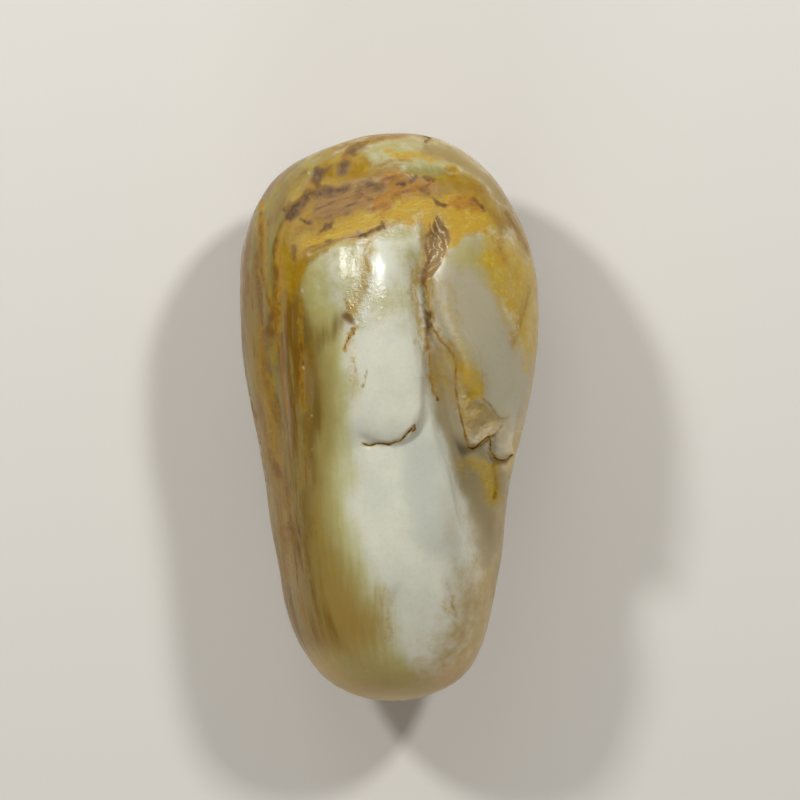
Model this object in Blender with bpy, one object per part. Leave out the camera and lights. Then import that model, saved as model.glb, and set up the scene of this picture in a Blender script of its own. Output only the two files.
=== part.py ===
"""A river-worn jade pebble, lying on its back on a small worn flat: one solid.

Blender's metres, +Z up. The long axis runs along Y with the broad end at +Y, and the face with the
folds looks up. The origin is on the ground, below the middle of the stone. The form is written in
millimetres, as a smooth body between two edge lines and two depth lines, with relief laid over it.
"""

import bmesh
import bpy
import numpy as np

MILLIMETRE = 0.001

# Driving dimensions, in millimetres.
LENGTH = 100.0
EDGE_HEIGHT = 20.0  # of the stone's widest line above the ground
HALF_LENGTH = LENGTH / 2

# The form is shaped on a fine mesh, whose rows run from end to end and whose columns go round the
# stone, closer on the face. It is then thinned where the surface is plain.
ROWS = 280
COLUMNS = 240
FACE_CROWDING = 0.35
MIDDLE_CROWDING = 0.16
TRIANGLES = 9600
GROUND_SNAP = 0.02  # what lies this near the ground is on it, in millimetres

# The relief is drawn on a flat map over the face, then worn by the river.
MAP_HALF_SIZE = (28.0, 52.0)
MAP_STEP = 0.25
WEAR = 0.4  # how far the wear reaches, in millimetres

# (along the stone, across it), from the narrow end to the broad one.
LEFT_EDGE = (
    (-50.0, 0.7), (-47.9, -8.3), (-44.7, -12.4), (-40.3, -15.6), (-34.5, -18.0), (-27.3, -19.5),
    (-18.7, -20.9), (-8.4, -22.4), (-1.4, -23.8), (5.1, -25.0), (13.6, -26.0), (20.6, -26.3),
    (27.1, -26.2), (34.3, -24.7), (39.2, -22.3), (43.3, -18.6), (46.8, -12.4), (50.0, 1.2),
)
RIGHT_EDGE = (
    (-50.0, 0.7), (-48.8, 7.0), (-46.1, 12.3), (-43.5, 14.6), (-38.5, 16.8), (-32.2, 18.2),
    (-25.0, 19.5), (-16.9, 20.5), (-10.2, 21.3), (-2.1, 23.4), (4.2, 24.9), (11.8, 26.0),
    (17.1, 26.3), (22.5, 26.0), (30.6, 24.4), (37.8, 21.2), (42.8, 17.7), (46.8, 12.8), (50.0, 1.2),
)
# (along the stone, how far the surface stands out from the widest line).
FACE_DEPTH = (
    (-50.0, 0.0), (-46.5, 9.2), (-40.0, 14.6), (-30.0, 18.2), (-20.0, 19.6), (-8.0, 19.9),
    (6.0, 20.9), (18.0, 20.9), (28.0, 19.4), (38.0, 15.4), (46.0, 9.0), (50.0, 0.0),
)
BACK_DEPTH = (
    (-50.0, 0.0), (-45.0, 8.0), (-35.0, 13.6), (-22.0, 17.6), (-8.0, 20.2), (8.0, 21.3),
    (20.0, 20.6), (32.0, 17.0), (42.0, 11.6), (50.0, 0.0),
)
FULLNESS = 0.035  # how much the section fills out between its four extremes, as a share

# Edges of lobes that lie over the body, (across, along); each lobe is on the left of its line's run.
FLAP_EDGE = (
    (7.6, 33.0), (6.5, 27.6), (6.2, 23.4), (6.6, 19.6), (7.6, 16.0), (9.6, 12.2), (10.9, 9.6),
    (11.2, 6.0), (11.6, 2.0), (12.3, -1.4), (13.6, -5.2), (15.2, -5.6), (16.6, -4.4), (17.6, -6.2),
    (19.4, -7.3), (22.4, -6.6),
)
LOWER_BODY_EDGE = (
    (-7.4, 17.4), (-10.0, 16.0), (-11.6, 13.6), (-12.8, 9.8), (-13.6, 4.0), (-14.4, -2.6),
    (-15.0, -9.0), (-15.4, -18.0),
)
CLEFT_SHOULDER = (
    (16.0, -27.0), (14.4, -22.0), (12.8, -18.6), (11.7, -15.4), (11.1, -12.0), (10.4, -9.0),
    (9.4, -6.0), (8.4, -3.0), (7.6, 0.2), (6.8, 4.4),
)
STRIP_EDGE = ((19.4, -5.6), (18.9, -9.6), (18.5, -13.6), (17.9, -19.6), (17.0, -26.0))
CAP_EDGE = (
    (12.6, 41.6), (8.0, 42.8), (2.6, 43.4), (-2.4, 42.4), (-7.0, 41.6), (-12.4, 40.2),
    (-16.4, 37.6), (-18.4, 33.4), (-19.6, 27.0),
)

# The tongue's crest, (across, along), and its half-width at the two ends.
TONGUE_CREST = ((-0.4, 34.0), (-1.1, 27.0), (-0.9, 20.0), (-0.4, 11.0), (-0.2, 1.7))
TONGUE_HALF_WIDTHS = (4.2, 6.4)

# Lines of grooves, (across, along).
CLEFT = (
    (7.4, 34.0), (6.0, 29.0), (5.6, 23.4), (6.4, 17.6), (8.0, 11.0), (9.6, 5.0), (11.2, -1.0),
    (13.0, -7.0), (14.6, -13.0), (15.8, -19.0), (16.4, -26.0),
)
BROW_GROOVE = ((-3.0, 34.0), (-4.4, 29.0), (-4.9, 25.0), (-5.6, 20.6), (-7.2, 16.0))
LEFT_FLUTES = (
    ((-22.4, 34.0), (-23.3, 24.0), (-22.9, 14.0), (-21.6, 4.0), (-20.6, -5.0)),
    ((-19.4, 30.0), (-19.8, 20.0), (-20.2, 12.0), (-19.6, 2.0), (-18.2, -8.0)),
    ((-15.4, 26.0), (-15.2, 17.0), (-14.9, 8.0), (-15.2, -2.0)),
)

# Hollows with a bevelled rim, (across, along).
SHELF = (
    (-17.4, 29.4), (-18.0, 34.4), (-16.2, 37.8), (-12.6, 40.0), (-7.8, 41.0), (-2.6, 42.2),
    (3.0, 42.4), (8.8, 40.4), (8.4, 38.2), (6.2, 36.2), (1.8, 34.2), (-2.2, 32.6), (-5.4, 31.2),
    (-9.8, 29.8), (-14.2, 28.4),
)
CHIP = (
    (8.1, 35.2), (10.0, 32.4), (10.4, 30.2), (9.6, 28.4), (8.8, 26.2), (7.4, 24.2), (6.0, 23.6),
    (5.8, 25.8), (6.6, 28.4), (6.9, 31.6),
)
BROKEN_TIP = (
    (11.4, 6.4), (14.3, 4.7), (16.3, 2.9), (18.4, 0.6), (20.6, 0.0), (18.6, -1.8), (16.6, -3.6),
    (14.4, -5.2), (13.0, -4.0), (12.0, 0.4),
)

# Broad swellings: (across, along), (radius across, radius along), height.
SWELLINGS = (
    ((-8.4, 23.4), (4.6, 9.0), 0.7),  # the brow left of the tongue
    ((15.2, 16.0), (7.0, 16.0), 0.7),  # the flap
    ((1.6, -21.6), (9.0, 12.0), 0.7),  # the lower body's crown
    ((-20.4, 4.0), (4.6, 26.0), -0.8),  # the left side falls away
    ((15.2, -11.5), (3.2, 8.6), -2.0),  # the foot of the cleft
    ((12.6, 4.0), (3.4, 5.0), -0.5),  # the cleft's middle
    ((-4.0, 39.6), (13.0, 1.9), -0.5),  # the shelf, deepest under the cap
    ((-12.4, 42.4), (1.9, 1.3), -0.7),  # a pit under the cap
)


def smooth_curve(positions, values, at):
    """A natural cubic spline through the values, which stand at rising positions, read elsewhere."""
    positions, values = np.asarray(positions, float), np.asarray(values, float)
    gaps = np.diff(positions)
    slopes = np.diff(values) / gaps
    count = len(positions)
    system = np.eye(count)
    bends = np.zeros(count)
    for i in range(1, count - 1):
        system[i, i - 1:i + 2] = gaps[i - 1], 2 * (gaps[i - 1] + gaps[i]), gaps[i]
        bends[i] = 6 * (slopes[i] - slopes[i - 1])
    bends = np.linalg.solve(system, bends)
    span = np.clip(np.searchsorted(positions, at) - 1, 0, count - 2)
    gap, before, after = gaps[span], at - positions[span], positions[span + 1] - at
    return (
        (bends[span] * after**3 + bends[span + 1] * before**3) / (6 * gap)
        + (values[span] / gap - bends[span] * gap / 6) * after
        + (values[span + 1] / gap - bends[span + 1] * gap / 6) * before
    )


def smooth_step(low, high, value):
    """0 below low, 1 above high, and a soft rise between."""
    share = np.clip((value - low) / (high - low), 0, 1)
    return share * share * (3 - 2 * share)


def profile(points, latitude):
    """An edge or depth line, as a smooth function of latitude, from -90 degrees to 90 degrees."""
    along, value = np.array(points).T
    return smooth_curve(np.arcsin(along / HALF_LENGTH), value, latitude)


def body_form(latitude, turn):
    """Points of the smooth body; turn is the angle round the long axis, 0 on the crown of the face."""
    left, right = profile(LEFT_EDGE, latitude), profile(RIGHT_EDGE, latitude)
    depth = np.where(
        np.cos(turn) > 0, profile(FACE_DEPTH, latitude), profile(BACK_DEPTH, latitude)
    )
    fill = 1 + FULLNESS * np.sin(2 * turn) ** 2
    return np.column_stack([
        (left + right) / 2 + (right - left) / 2 * np.sin(turn) * fill,
        HALF_LENGTH * np.sin(latitude),
        EDGE_HEIGHT + depth * np.cos(turn) * fill,
    ])


def smooth_line(points, samples=60):
    """Evenly spread points of the smooth line through the given ones."""
    points = np.array(points, float)
    reached = np.r_[0, np.cumsum(np.linalg.norm(np.diff(points, axis=0), axis=1))]
    at = np.linspace(0, reached[-1], samples)
    return np.column_stack([smooth_curve(reached, points[:, axis], at) for axis in (0, 1)])


def beside(places, line):
    """Each place's distance from a line, positive on the left of its run, and its share of the run."""
    distance = np.full(len(places), np.inf)
    side, share = np.ones(len(places)), np.zeros(len(places))
    runs = len(line) - 1
    for i, (start, end) in enumerate(zip(line[:-1], line[1:])):
        run, away = end - start, places - start
        part = np.clip(away @ run / (run @ run), 0, 1)
        gap = np.linalg.norm(away - part[:, None] * run, axis=1)
        nearer = gap < distance
        distance[nearer] = gap[nearer]
        side[nearer] = np.sign(run[0] * away[nearer, 1] - run[1] * away[nearer, 0])
        share[nearer] = (i + part[nearer]) / runs
    return distance * side, share


def finger(places, crest, half_widths, rise, far_softness=2.0):
    """A rounded ridge with a blunt end, steep on the left of its crest's run and soft on the right."""
    crest = smooth_line(crest)
    distance, share = beside(places, crest)
    run = crest[-1] - crest[-4]
    run /= np.linalg.norm(run)
    past_end = np.clip((places - crest[-1]) @ run, 0, None)
    square_on = np.sqrt(np.clip(distance**2 - past_end**2, 0, None)) * np.sign(distance)
    steep = smooth_step(-0.95, -0.35, square_on / (np.abs(distance) + 1e-9))
    half_width = half_widths[0] + (half_widths[1] - half_widths[0]) * share
    reach = np.abs(distance) / half_width
    blunt = np.sqrt(np.clip(1 - reach**2, 0, None))
    soft = np.clip(1 - (reach / far_softness)**2, 0, None) ** 2
    return rise * (soft + (blunt - soft) * steep) * smooth_step(0, 0.3, share)


def inside_depth(places, outline):
    """How far each place is inside a closed outline, and 0 outside it."""
    closed = np.array([*outline, outline[0]], float)
    inside = np.zeros(len(places), bool)
    for (x0, y0), (x1, y1) in zip(closed[:-1], closed[1:]):
        spans = (y0 > places[:, 1]) != (y1 > places[:, 1])
        crossing = x0 + (places[:, 1] - y0) / (y1 - y0 + 1e-12) * (x1 - x0)
        inside ^= spans & (places[:, 0] < crossing)
    distance = np.abs(beside(places, closed)[0])
    return np.where(inside, distance, 0)


def ends_fade(share, start=0.15, end=0.15):
    """1 along a line's middle, falling to 0 at its two ends."""
    return smooth_step(0, start, share) * smooth_step(0, end, 1 - share)


def lobe(places, edge, rise, shoulder, reach, trough=0.3, trough_width=0.9, fade=(0.15, 0.15)):
    """A lobe that ends in a rounded shoulder at its edge and sinks into the body behind it."""
    distance, share = beside(places, smooth_line(edge))
    rounded = np.clip(distance / shoulder, 0, 1)
    height = rise * (1 - (1 - rounded) ** 2.5) * smooth_step(-reach, 0, -distance)
    ditch = trough * np.exp(-((distance / trough_width + 1) ** 2))
    return (height - ditch) * ends_fade(share, *fade)


def groove(places, line, depth, widths, fade=(0.15, 0.15)):
    """A trough along a line, as wide at its two ends as widths says."""
    distance, share = beside(places, smooth_line(line))
    width = widths[0] + (widths[1] - widths[0]) * share
    return -depth * np.exp(-((distance / width) ** 2)) * ends_fade(share, *fade)


def hollow(places, outline, depth, bevel):
    """A dish with a bevelled rim."""
    return -depth * smooth_step(0, bevel, inside_depth(places, outline))


def swelling(places, centre, radii, height):
    """A broad soft rise, or a dip where height is negative."""
    away = (places - np.array(centre)) / np.array(radii)
    return height * np.exp(-np.sum(away**2, axis=1))


def face_relief(places):
    """How far the face stands out from the smooth body at each (across, along)."""
    relief = sum(swelling(places, *shape) for shape in SWELLINGS)
    relief += finger(places, TONGUE_CREST, TONGUE_HALF_WIDTHS, 2.5)
    relief += lobe(places, FLAP_EDGE, 2.4, 1.5, 10.0, trough=0.3, fade=(0.2, 0.06))
    relief += lobe(places, LOWER_BODY_EDGE, 0.6, 4.0, 9.0, trough=0.1, fade=(0.2, 0.6))
    relief += lobe(places, CLEFT_SHOULDER, 1.1, 2.4, 7.0, trough=0.2, fade=(0.4, 0.2))
    relief += lobe(places, STRIP_EDGE, 0.7, 1.6, 5.0, trough=0.1, fade=(0.1, 0.4))
    relief += lobe(places, CAP_EDGE, 0.5, 2.4, 7.0, trough=0.15, fade=(0.45, 0.3))
    relief += groove(places, CLEFT, 2.2, (1.2, 3.4), fade=(0.2, 0.3))
    relief += groove(places, BROW_GROOVE, 0.6, (1.6, 1.8), fade=(0.3, 0.3))
    for flute in LEFT_FLUTES:
        relief += groove(places, flute, 0.45, (1.3, 1.3), fade=(0.3, 0.3))
    relief += hollow(places, SHELF, 0.6, 2.6)
    relief += hollow(places, CHIP, 1.7, 1.2)
    relief += hollow(places, BROKEN_TIP, 0.9, 1.8)
    return relief


def wear(heights, reach):
    """The map of heights, blurred along both of its axes."""
    count = int(3 * reach / MAP_STEP)
    steps = np.arange(-count, count + 1) * MAP_STEP
    weights = np.exp(-((steps / reach) ** 2) / 2)
    weights /= weights.sum()
    for axis in (0, 1):
        heights = np.apply_along_axis(np.convolve, axis, heights, weights, "same")
    return heights


def relief_map():
    """The worn relief of the face, on a grid over it."""
    across, along = (np.arange(-half, half + MAP_STEP / 2, MAP_STEP) for half in MAP_HALF_SIZE)
    grid = np.stack(np.meshgrid(across, along, indexing="ij"), axis=-1)
    return wear(face_relief(grid.reshape(-1, 2)).reshape(grid.shape[:2]), WEAR)


def read_map(heights, places):
    """The map's height at each (across, along), between its four nearest points."""
    at = (places + np.array(MAP_HALF_SIZE)) / MAP_STEP
    cell = np.clip(at.astype(int), 0, np.array(heights.shape) - 2)
    (i, j), (u, v) = cell.T, (at - cell).T
    near = heights[i, j] * (1 - u) + heights[i + 1, j] * u
    far = heights[i, j + 1] * (1 - u) + heights[i + 1, j + 1] * u
    return near * (1 - v) + far * v


def read_vectors(items, name):
    """A vector of each item, as rows."""
    values = np.empty(len(items) * 3, np.float32)
    items.foreach_get(name, values)
    return values.reshape(-1, 3).astype(float)


def shape_stone():
    """The fine mesh: a sphere of rows and columns, carried onto the stone's form."""
    sphere = bmesh.new()
    bmesh.ops.create_uvsphere(sphere, u_segments=COLUMNS, v_segments=ROWS, radius=1)
    mesh = bpy.data.meshes.new("fine_pebble")
    sphere.to_mesh(mesh)
    sphere.free()
    ball = read_vectors(mesh.vertices, "co")

    latitude = np.arcsin(np.clip(ball[:, 2], -1, 1))
    latitude = latitude - MIDDLE_CROWDING * np.sin(2 * latitude)
    turn = np.arctan2(ball[:, 1], ball[:, 0])
    turn = turn - FACE_CROWDING * np.sin(turn)

    places = body_form(latitude, turn)
    mesh.vertices.foreach_set("co", places.ravel())
    mesh.update()
    outward = read_vectors(mesh.vertex_normals, "vector")

    on_face = smooth_step(0.0, 0.45, outward[:, 2])
    places += outward * (on_face * read_map(relief_map(), places[:, :2]))[:, None]
    places[:, 2] = np.maximum(places[:, 2], 0)
    mesh.vertices.foreach_set("co", places.ravel())
    mesh.update()
    return mesh


def thin_out(fine):
    """A lighter copy of the fine mesh, in metres, which keeps its triangles where the form turns."""
    carrier = bpy.data.objects.new("carrier", fine)
    bpy.context.scene.collection.objects.link(carrier)
    decimate = carrier.modifiers.new("thin", "DECIMATE")
    decimate.ratio = TRIANGLES / (2 * COLUMNS * (ROWS - 1))
    light = bpy.data.meshes.new_from_object(
        carrier.evaluated_get(bpy.context.evaluated_depsgraph_get())
    )
    bpy.data.objects.remove(carrier)
    places = read_vectors(light.vertices, "co")
    places[:, 2] = np.where(places[:, 2] < GROUND_SNAP, 0, places[:, 2])
    light.vertices.foreach_set("co", (places * MILLIMETRE).ravel())
    light.update()
    light.shade_smooth()
    return light


def jade():
    """Waxy grey-green nephrite."""
    material = bpy.data.materials.new("jade")
    material.use_nodes = True
    shader = material.node_tree.nodes["Principled BSDF"]
    shader.inputs["Base Color"].default_value = (0.47, 0.46, 0.32, 1)
    shader.inputs["Roughness"].default_value = 0.32
    shader.inputs["Metallic"].default_value = 0
    return material


for leftover in list(bpy.data.objects):
    bpy.data.objects.remove(leftover)
pebble = bpy.data.objects.new("jade_pebble", thin_out(shape_stone()))
pebble.data.materials.append(jade())
bpy.context.scene.collection.objects.link(pebble)
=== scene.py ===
"""A river-worn jade pebble on a pale floor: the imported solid's form made fine, and its skin."""

import math

import bmesh
import bpy
import numpy as np
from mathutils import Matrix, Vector


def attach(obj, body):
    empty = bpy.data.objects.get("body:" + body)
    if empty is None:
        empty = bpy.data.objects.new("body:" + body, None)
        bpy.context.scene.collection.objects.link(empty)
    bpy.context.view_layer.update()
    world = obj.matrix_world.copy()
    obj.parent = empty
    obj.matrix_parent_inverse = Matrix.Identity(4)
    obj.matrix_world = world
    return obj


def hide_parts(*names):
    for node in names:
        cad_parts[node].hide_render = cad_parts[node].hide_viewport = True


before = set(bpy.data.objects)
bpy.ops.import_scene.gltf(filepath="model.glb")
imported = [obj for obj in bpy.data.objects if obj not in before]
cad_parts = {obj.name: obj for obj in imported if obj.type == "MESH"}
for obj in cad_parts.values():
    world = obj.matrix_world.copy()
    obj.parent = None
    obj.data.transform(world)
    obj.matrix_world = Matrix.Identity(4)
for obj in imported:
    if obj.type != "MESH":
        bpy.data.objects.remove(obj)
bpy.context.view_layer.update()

MILLIMETRE = 0.001

# ---- The form, in millimetres: the same lines as the solid's ----

EDGE_HEIGHT = 20.0  # of the stone's widest line above the ground
HALF_LENGTH = 50.0

ROWS = 150
COLUMNS = 180
FACE_CROWDING = 0.35
MIDDLE_CROWDING = 0.16

GRAIN_RADIUS = 22.0  # of the round bar that the skin's lengthways streaks are laid on

MAP_HALF_SIZE = (28.0, 52.0)
MAP_STEP = 0.2
WEAR = 0.3  # how far the wear reaches over the folds

# (along the stone, across it), from the narrow end to the broad one.
LEFT_EDGE = (
    (-50.0, 0.7), (-47.9, -8.3), (-44.7, -12.4), (-40.3, -15.6), (-34.5, -18.0), (-27.3, -19.5),
    (-18.7, -20.9), (-8.4, -22.4), (-1.4, -23.8), (5.1, -25.0), (13.6, -26.0), (20.6, -26.3),
    (27.1, -26.2), (34.3, -24.7), (39.2, -22.3), (43.3, -18.6), (46.8, -12.4), (50.0, 1.2),
)
RIGHT_EDGE = (
    (-50.0, 0.7), (-48.8, 7.0), (-46.1, 12.3), (-43.5, 14.6), (-38.5, 16.8), (-32.2, 18.2),
    (-25.0, 19.5), (-16.9, 20.5), (-10.2, 21.3), (-2.1, 23.4), (4.2, 24.9), (11.8, 26.0),
    (17.1, 26.3), (22.5, 26.0), (30.6, 24.4), (37.8, 21.2), (42.8, 17.7), (46.8, 12.8), (50.0, 1.2),
)
# (along the stone, how far the surface stands out from the widest line).
FACE_DEPTH = (
    (-50.0, 0.0), (-46.5, 9.2), (-40.0, 14.6), (-30.0, 18.2), (-20.0, 19.6), (-8.0, 19.9),
    (6.0, 20.9), (18.0, 20.9), (28.0, 19.4), (38.0, 15.4), (46.0, 9.0), (50.0, 0.0),
)
BACK_DEPTH = (
    (-50.0, 0.0), (-45.0, 8.0), (-35.0, 13.6), (-22.0, 17.6), (-8.0, 20.2), (8.0, 21.3),
    (20.0, 20.6), (32.0, 17.0), (42.0, 11.6), (50.0, 0.0),
)
FULLNESS = 0.035

# Edges of lobes that lie over the body, (across, along); a lobe is on the left of its line's run.
FLAP_EDGE = (
    (7.6, 33.0), (6.5, 27.6), (6.2, 23.4), (6.6, 19.6), (7.6, 16.0), (9.6, 12.2), (10.9, 9.6),
    (11.2, 6.0), (11.6, 2.0), (12.3, -1.4), (13.6, -5.2), (15.2, -5.6), (16.6, -4.4), (17.6, -6.2),
    (19.4, -7.3), (22.4, -6.6),
)
LOWER_BODY_EDGE = (
    (-7.4, 17.4), (-10.0, 16.0), (-11.6, 13.6), (-12.8, 9.8), (-13.6, 4.0), (-14.4, -2.6),
    (-15.0, -9.0), (-15.4, -18.0),
)
CLEFT_SHOULDER = (
    (16.0, -27.0), (14.4, -22.0), (12.8, -18.6), (11.7, -15.4), (11.1, -12.0), (10.4, -9.0),
    (9.4, -6.0), (8.4, -3.0), (7.6, 0.2), (6.8, 4.4),
)
STRIP_EDGE = ((19.4, -5.6), (18.9, -9.6), (18.5, -13.6), (17.9, -19.6), (17.0, -26.0))
CAP_EDGE = (
    (12.6, 41.6), (8.0, 42.8), (2.6, 43.4), (-2.4, 42.4), (-7.0, 41.6), (-12.4, 40.2),
    (-16.4, 37.6), (-18.4, 33.4), (-19.6, 27.0),
)
TONGUE_CREST = ((-0.4, 34.0), (-1.1, 27.0), (-0.9, 20.0), (-0.4, 11.0), (-0.2, 1.7))
TONGUE_HALF_WIDTHS = (4.2, 6.4)

# Lines of grooves, (across, along).
CLEFT = (
    (7.4, 34.0), (6.0, 29.0), (5.6, 23.4), (6.4, 17.6), (8.0, 11.0), (9.6, 5.0), (11.2, -1.0),
    (13.0, -7.0), (14.6, -13.0), (15.8, -19.0), (16.4, -26.0),
)
BROW_GROOVE = ((-3.0, 34.0), (-4.4, 29.0), (-4.9, 25.0), (-5.6, 20.6), (-7.2, 16.0))
LEFT_FLUTES = (
    ((-22.4, 34.0), (-23.3, 24.0), (-22.9, 14.0), (-21.6, 4.0), (-20.6, -5.0)),
    ((-19.4, 30.0), (-19.8, 20.0), (-20.2, 12.0), (-19.6, 2.0), (-18.2, -8.0)),
    ((-15.4, 26.0), (-15.2, 17.0), (-14.9, 8.0), (-15.2, -2.0)),
)

# Hollows with a bevelled rim, (across, along).
SHELF = (
    (-17.4, 29.4), (-18.0, 34.4), (-16.2, 37.8), (-12.6, 40.0), (-7.8, 41.0), (-2.6, 42.2),
    (3.0, 42.4), (8.8, 40.4), (8.4, 38.2), (6.2, 36.2), (1.8, 34.2), (-2.2, 32.6), (-5.4, 31.2),
    (-9.8, 29.8), (-14.2, 28.4),
)
CHIP = (
    (8.1, 35.2), (10.0, 32.4), (10.4, 30.2), (9.6, 28.4), (8.8, 26.2), (7.4, 24.2), (6.0, 23.6),
    (5.8, 25.8), (6.6, 28.4), (6.9, 31.6),
)
BROKEN_TIP = (
    (11.4, 6.4), (14.3, 4.7), (16.3, 2.9), (18.4, 0.6), (20.6, 0.0), (18.6, -1.8), (16.6, -3.6),
    (14.4, -5.2), (13.0, -4.0), (12.0, 0.4),
)

SCALLOP_MIDDLES = ((-2.3, 25.9), (1.2, 31.5))  # of the upper and the lower half of the chip
SCALLOP_BORDER = 31.3  # along the stone, plus 0.3 of the distance across it
RIDGE_SPACING = 1.05

# Broad swellings: (across, along), (radius across, radius along), height.
SWELLINGS = (
    ((-8.4, 23.4), (4.6, 9.0), 0.7),  # the brow left of the tongue
    ((15.2, 16.0), (7.0, 16.0), 0.7),  # the flap
    ((1.6, -21.6), (9.0, 12.0), 0.7),  # the lower body's crown
    ((-20.4, 4.0), (4.6, 26.0), -0.8),  # the left side falls away
    ((15.2, -11.5), (3.2, 8.6), -2.0),  # the foot of the cleft
    ((12.6, 4.0), (3.4, 5.0), -0.5),  # the cleft's middle
    ((-4.0, 39.6), (13.0, 1.9), -0.5),  # the shelf, deepest under the cap
    ((-12.4, 42.4), (1.9, 1.3), -0.7),  # a pit under the cap
)

# Fine cracks and creases: (across, along) points, depth, half-width.
CRACKS = (
    (((-4.6, -4.4), (-3.3, -4.8), (-1.9, -4.4), (-0.5, -4.6), (0.9, -4.2), (1.9, -3.7), (2.6, -3.0),
      (3.7, -1.8)), 0.45, 0.30),  # under the tongue's tip
    (((6.2, 23.4), (6.5, 20.6), (6.7, 17.8), (6.9, 15.3), (6.5, 12.7), (6.5, 9.2), (6.7, 6.5),
      (7.2, 4.4), (8.3, 3.0)), 0.25, 0.30),  # the crease beside the tongue
    (((13.4, -5.1), (14.4, -5.5), (15.8, -4.2), (17.1, -3.3), (17.4, -5.5), (18.3, -6.9),
      (19.7, -7.4), (21.3, -6.5)), 0.4, 0.30),  # under the flap's broken tip
    (((-14.3, 28.0), (-12.7, 28.7), (-10.6, 29.4), (-8.4, 30.1), (-6.3, 30.6), (-4.2, 31.2),
      (-2.5, 32.2), (-0.7, 33.1)), 0.4, 0.30),  # along the shelf's lower edge
    (((24.5, 22.9), (23.8, 20.6), (22.9, 17.8), (22.0, 14.6), (21.5, 12.7)), 0.15, 0.25),
    (((5.0, 17.5), (5.8, 12.0), (6.2, 7.0), (6.0, 2.5), (5.2, -0.6), (3.9, -2.3)), 0.22, 0.5),
)
# A ridge on the brow, (across, along), its height and half-width.
BROW_RIDGE = (((-7.8, 32.0), (-8.6, 28.0), (-8.9, 24.0), (-9.4, 19.0)), 0.75, 2.0)
# Small spoon-shaped dents: (across, along), (radius across, radius along), depth.
DENTS = (
    ((19.5, 28.9), (0.9, 1.5), 0.30),
    ((21.4, 24.4), (0.8, 2.2), 0.30),
    ((-7.4, 17.0), (0.7, 1.1), 0.40),
    ((16.8, -3.4), (0.8, 0.9), 0.50),
    ((-13.0, 42.0), (1.2, 0.7), 0.35),
    ((12.6, 33.0), (0.5, 0.4), 0.20),
    ((15.6, 36.0), (0.6, 0.4), 0.20),
)


def smooth_curve(positions, values, at):
    """A natural cubic spline through the values, which stand at rising positions."""
    positions, values = np.asarray(positions, float), np.asarray(values, float)
    gaps = np.diff(positions)
    slopes = np.diff(values) / gaps
    count = len(positions)
    system = np.eye(count)
    bends = np.zeros(count)
    for i in range(1, count - 1):
        system[i, i - 1:i + 2] = gaps[i - 1], 2 * (gaps[i - 1] + gaps[i]), gaps[i]
        bends[i] = 6 * (slopes[i] - slopes[i - 1])
    bends = np.linalg.solve(system, bends)
    span = np.clip(np.searchsorted(positions, at) - 1, 0, count - 2)
    gap, before, after = gaps[span], at - positions[span], positions[span + 1] - at
    return (
        (bends[span] * after**3 + bends[span + 1] * before**3) / (6 * gap)
        + (values[span] / gap - bends[span] * gap / 6) * after
        + (values[span + 1] / gap - bends[span + 1] * gap / 6) * before
    )


def smooth_step(low, high, value):
    """0 below low, 1 above high, and a soft rise between."""
    share = np.clip((value - low) / (high - low), 0, 1)
    return share * share * (3 - 2 * share)


def profile(points, latitude):
    """An edge or depth line, as a smooth function of latitude, from -90 degrees to 90 degrees."""
    along, value = np.array(points).T
    return smooth_curve(np.arcsin(along / HALF_LENGTH), value, latitude)


def body_form(latitude, turn):
    """Points of the smooth body; turn is the angle round the long axis, 0 on the face's crown."""
    left, right = profile(LEFT_EDGE, latitude), profile(RIGHT_EDGE, latitude)
    depth = np.where(
        np.cos(turn) > 0, profile(FACE_DEPTH, latitude), profile(BACK_DEPTH, latitude)
    )
    fill = 1 + FULLNESS * np.sin(2 * turn) ** 2
    return np.column_stack([
        (left + right) / 2 + (right - left) / 2 * np.sin(turn) * fill,
        HALF_LENGTH * np.sin(latitude),
        EDGE_HEIGHT + depth * np.cos(turn) * fill,
    ])


def smooth_line(points, samples=60):
    """Evenly spread points of the smooth line through the given ones."""
    points = np.array(points, float)
    reached = np.r_[0, np.cumsum(np.linalg.norm(np.diff(points, axis=0), axis=1))]
    at = np.linspace(0, reached[-1], samples)
    return np.column_stack([smooth_curve(reached, points[:, axis], at) for axis in (0, 1)])


def beside(places, line):
    """Each place's distance from a line, positive on its left, and its share of the line's run."""
    distance = np.full(len(places), np.inf)
    side, share = np.ones(len(places)), np.zeros(len(places))
    runs = len(line) - 1
    for i, (start, end) in enumerate(zip(line[:-1], line[1:])):
        run, away = end - start, places - start
        part = np.clip(away @ run / (run @ run), 0, 1)
        gap = np.linalg.norm(away - part[:, None] * run, axis=1)
        nearer = gap < distance
        distance[nearer] = gap[nearer]
        side[nearer] = np.sign(run[0] * away[nearer, 1] - run[1] * away[nearer, 0])
        share[nearer] = (i + part[nearer]) / runs
    return distance * side, share


def finger(places, crest, half_widths, rise, far_softness=2.0):
    """A rounded ridge with a blunt end, steep on the left of its crest and soft on the right."""
    crest = smooth_line(crest)
    distance, share = beside(places, crest)
    run = crest[-1] - crest[-4]
    run /= np.linalg.norm(run)
    past_end = np.clip((places - crest[-1]) @ run, 0, None)
    square_on = np.sqrt(np.clip(distance**2 - past_end**2, 0, None)) * np.sign(distance)
    steep = smooth_step(-0.95, -0.35, square_on / (np.abs(distance) + 1e-9))
    half_width = half_widths[0] + (half_widths[1] - half_widths[0]) * share
    reach = np.abs(distance) / half_width
    blunt = np.sqrt(np.clip(1 - reach**2, 0, None))
    soft = np.clip(1 - (reach / far_softness)**2, 0, None) ** 2
    return rise * (soft + (blunt - soft) * steep) * smooth_step(0, 0.3, share)


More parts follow.
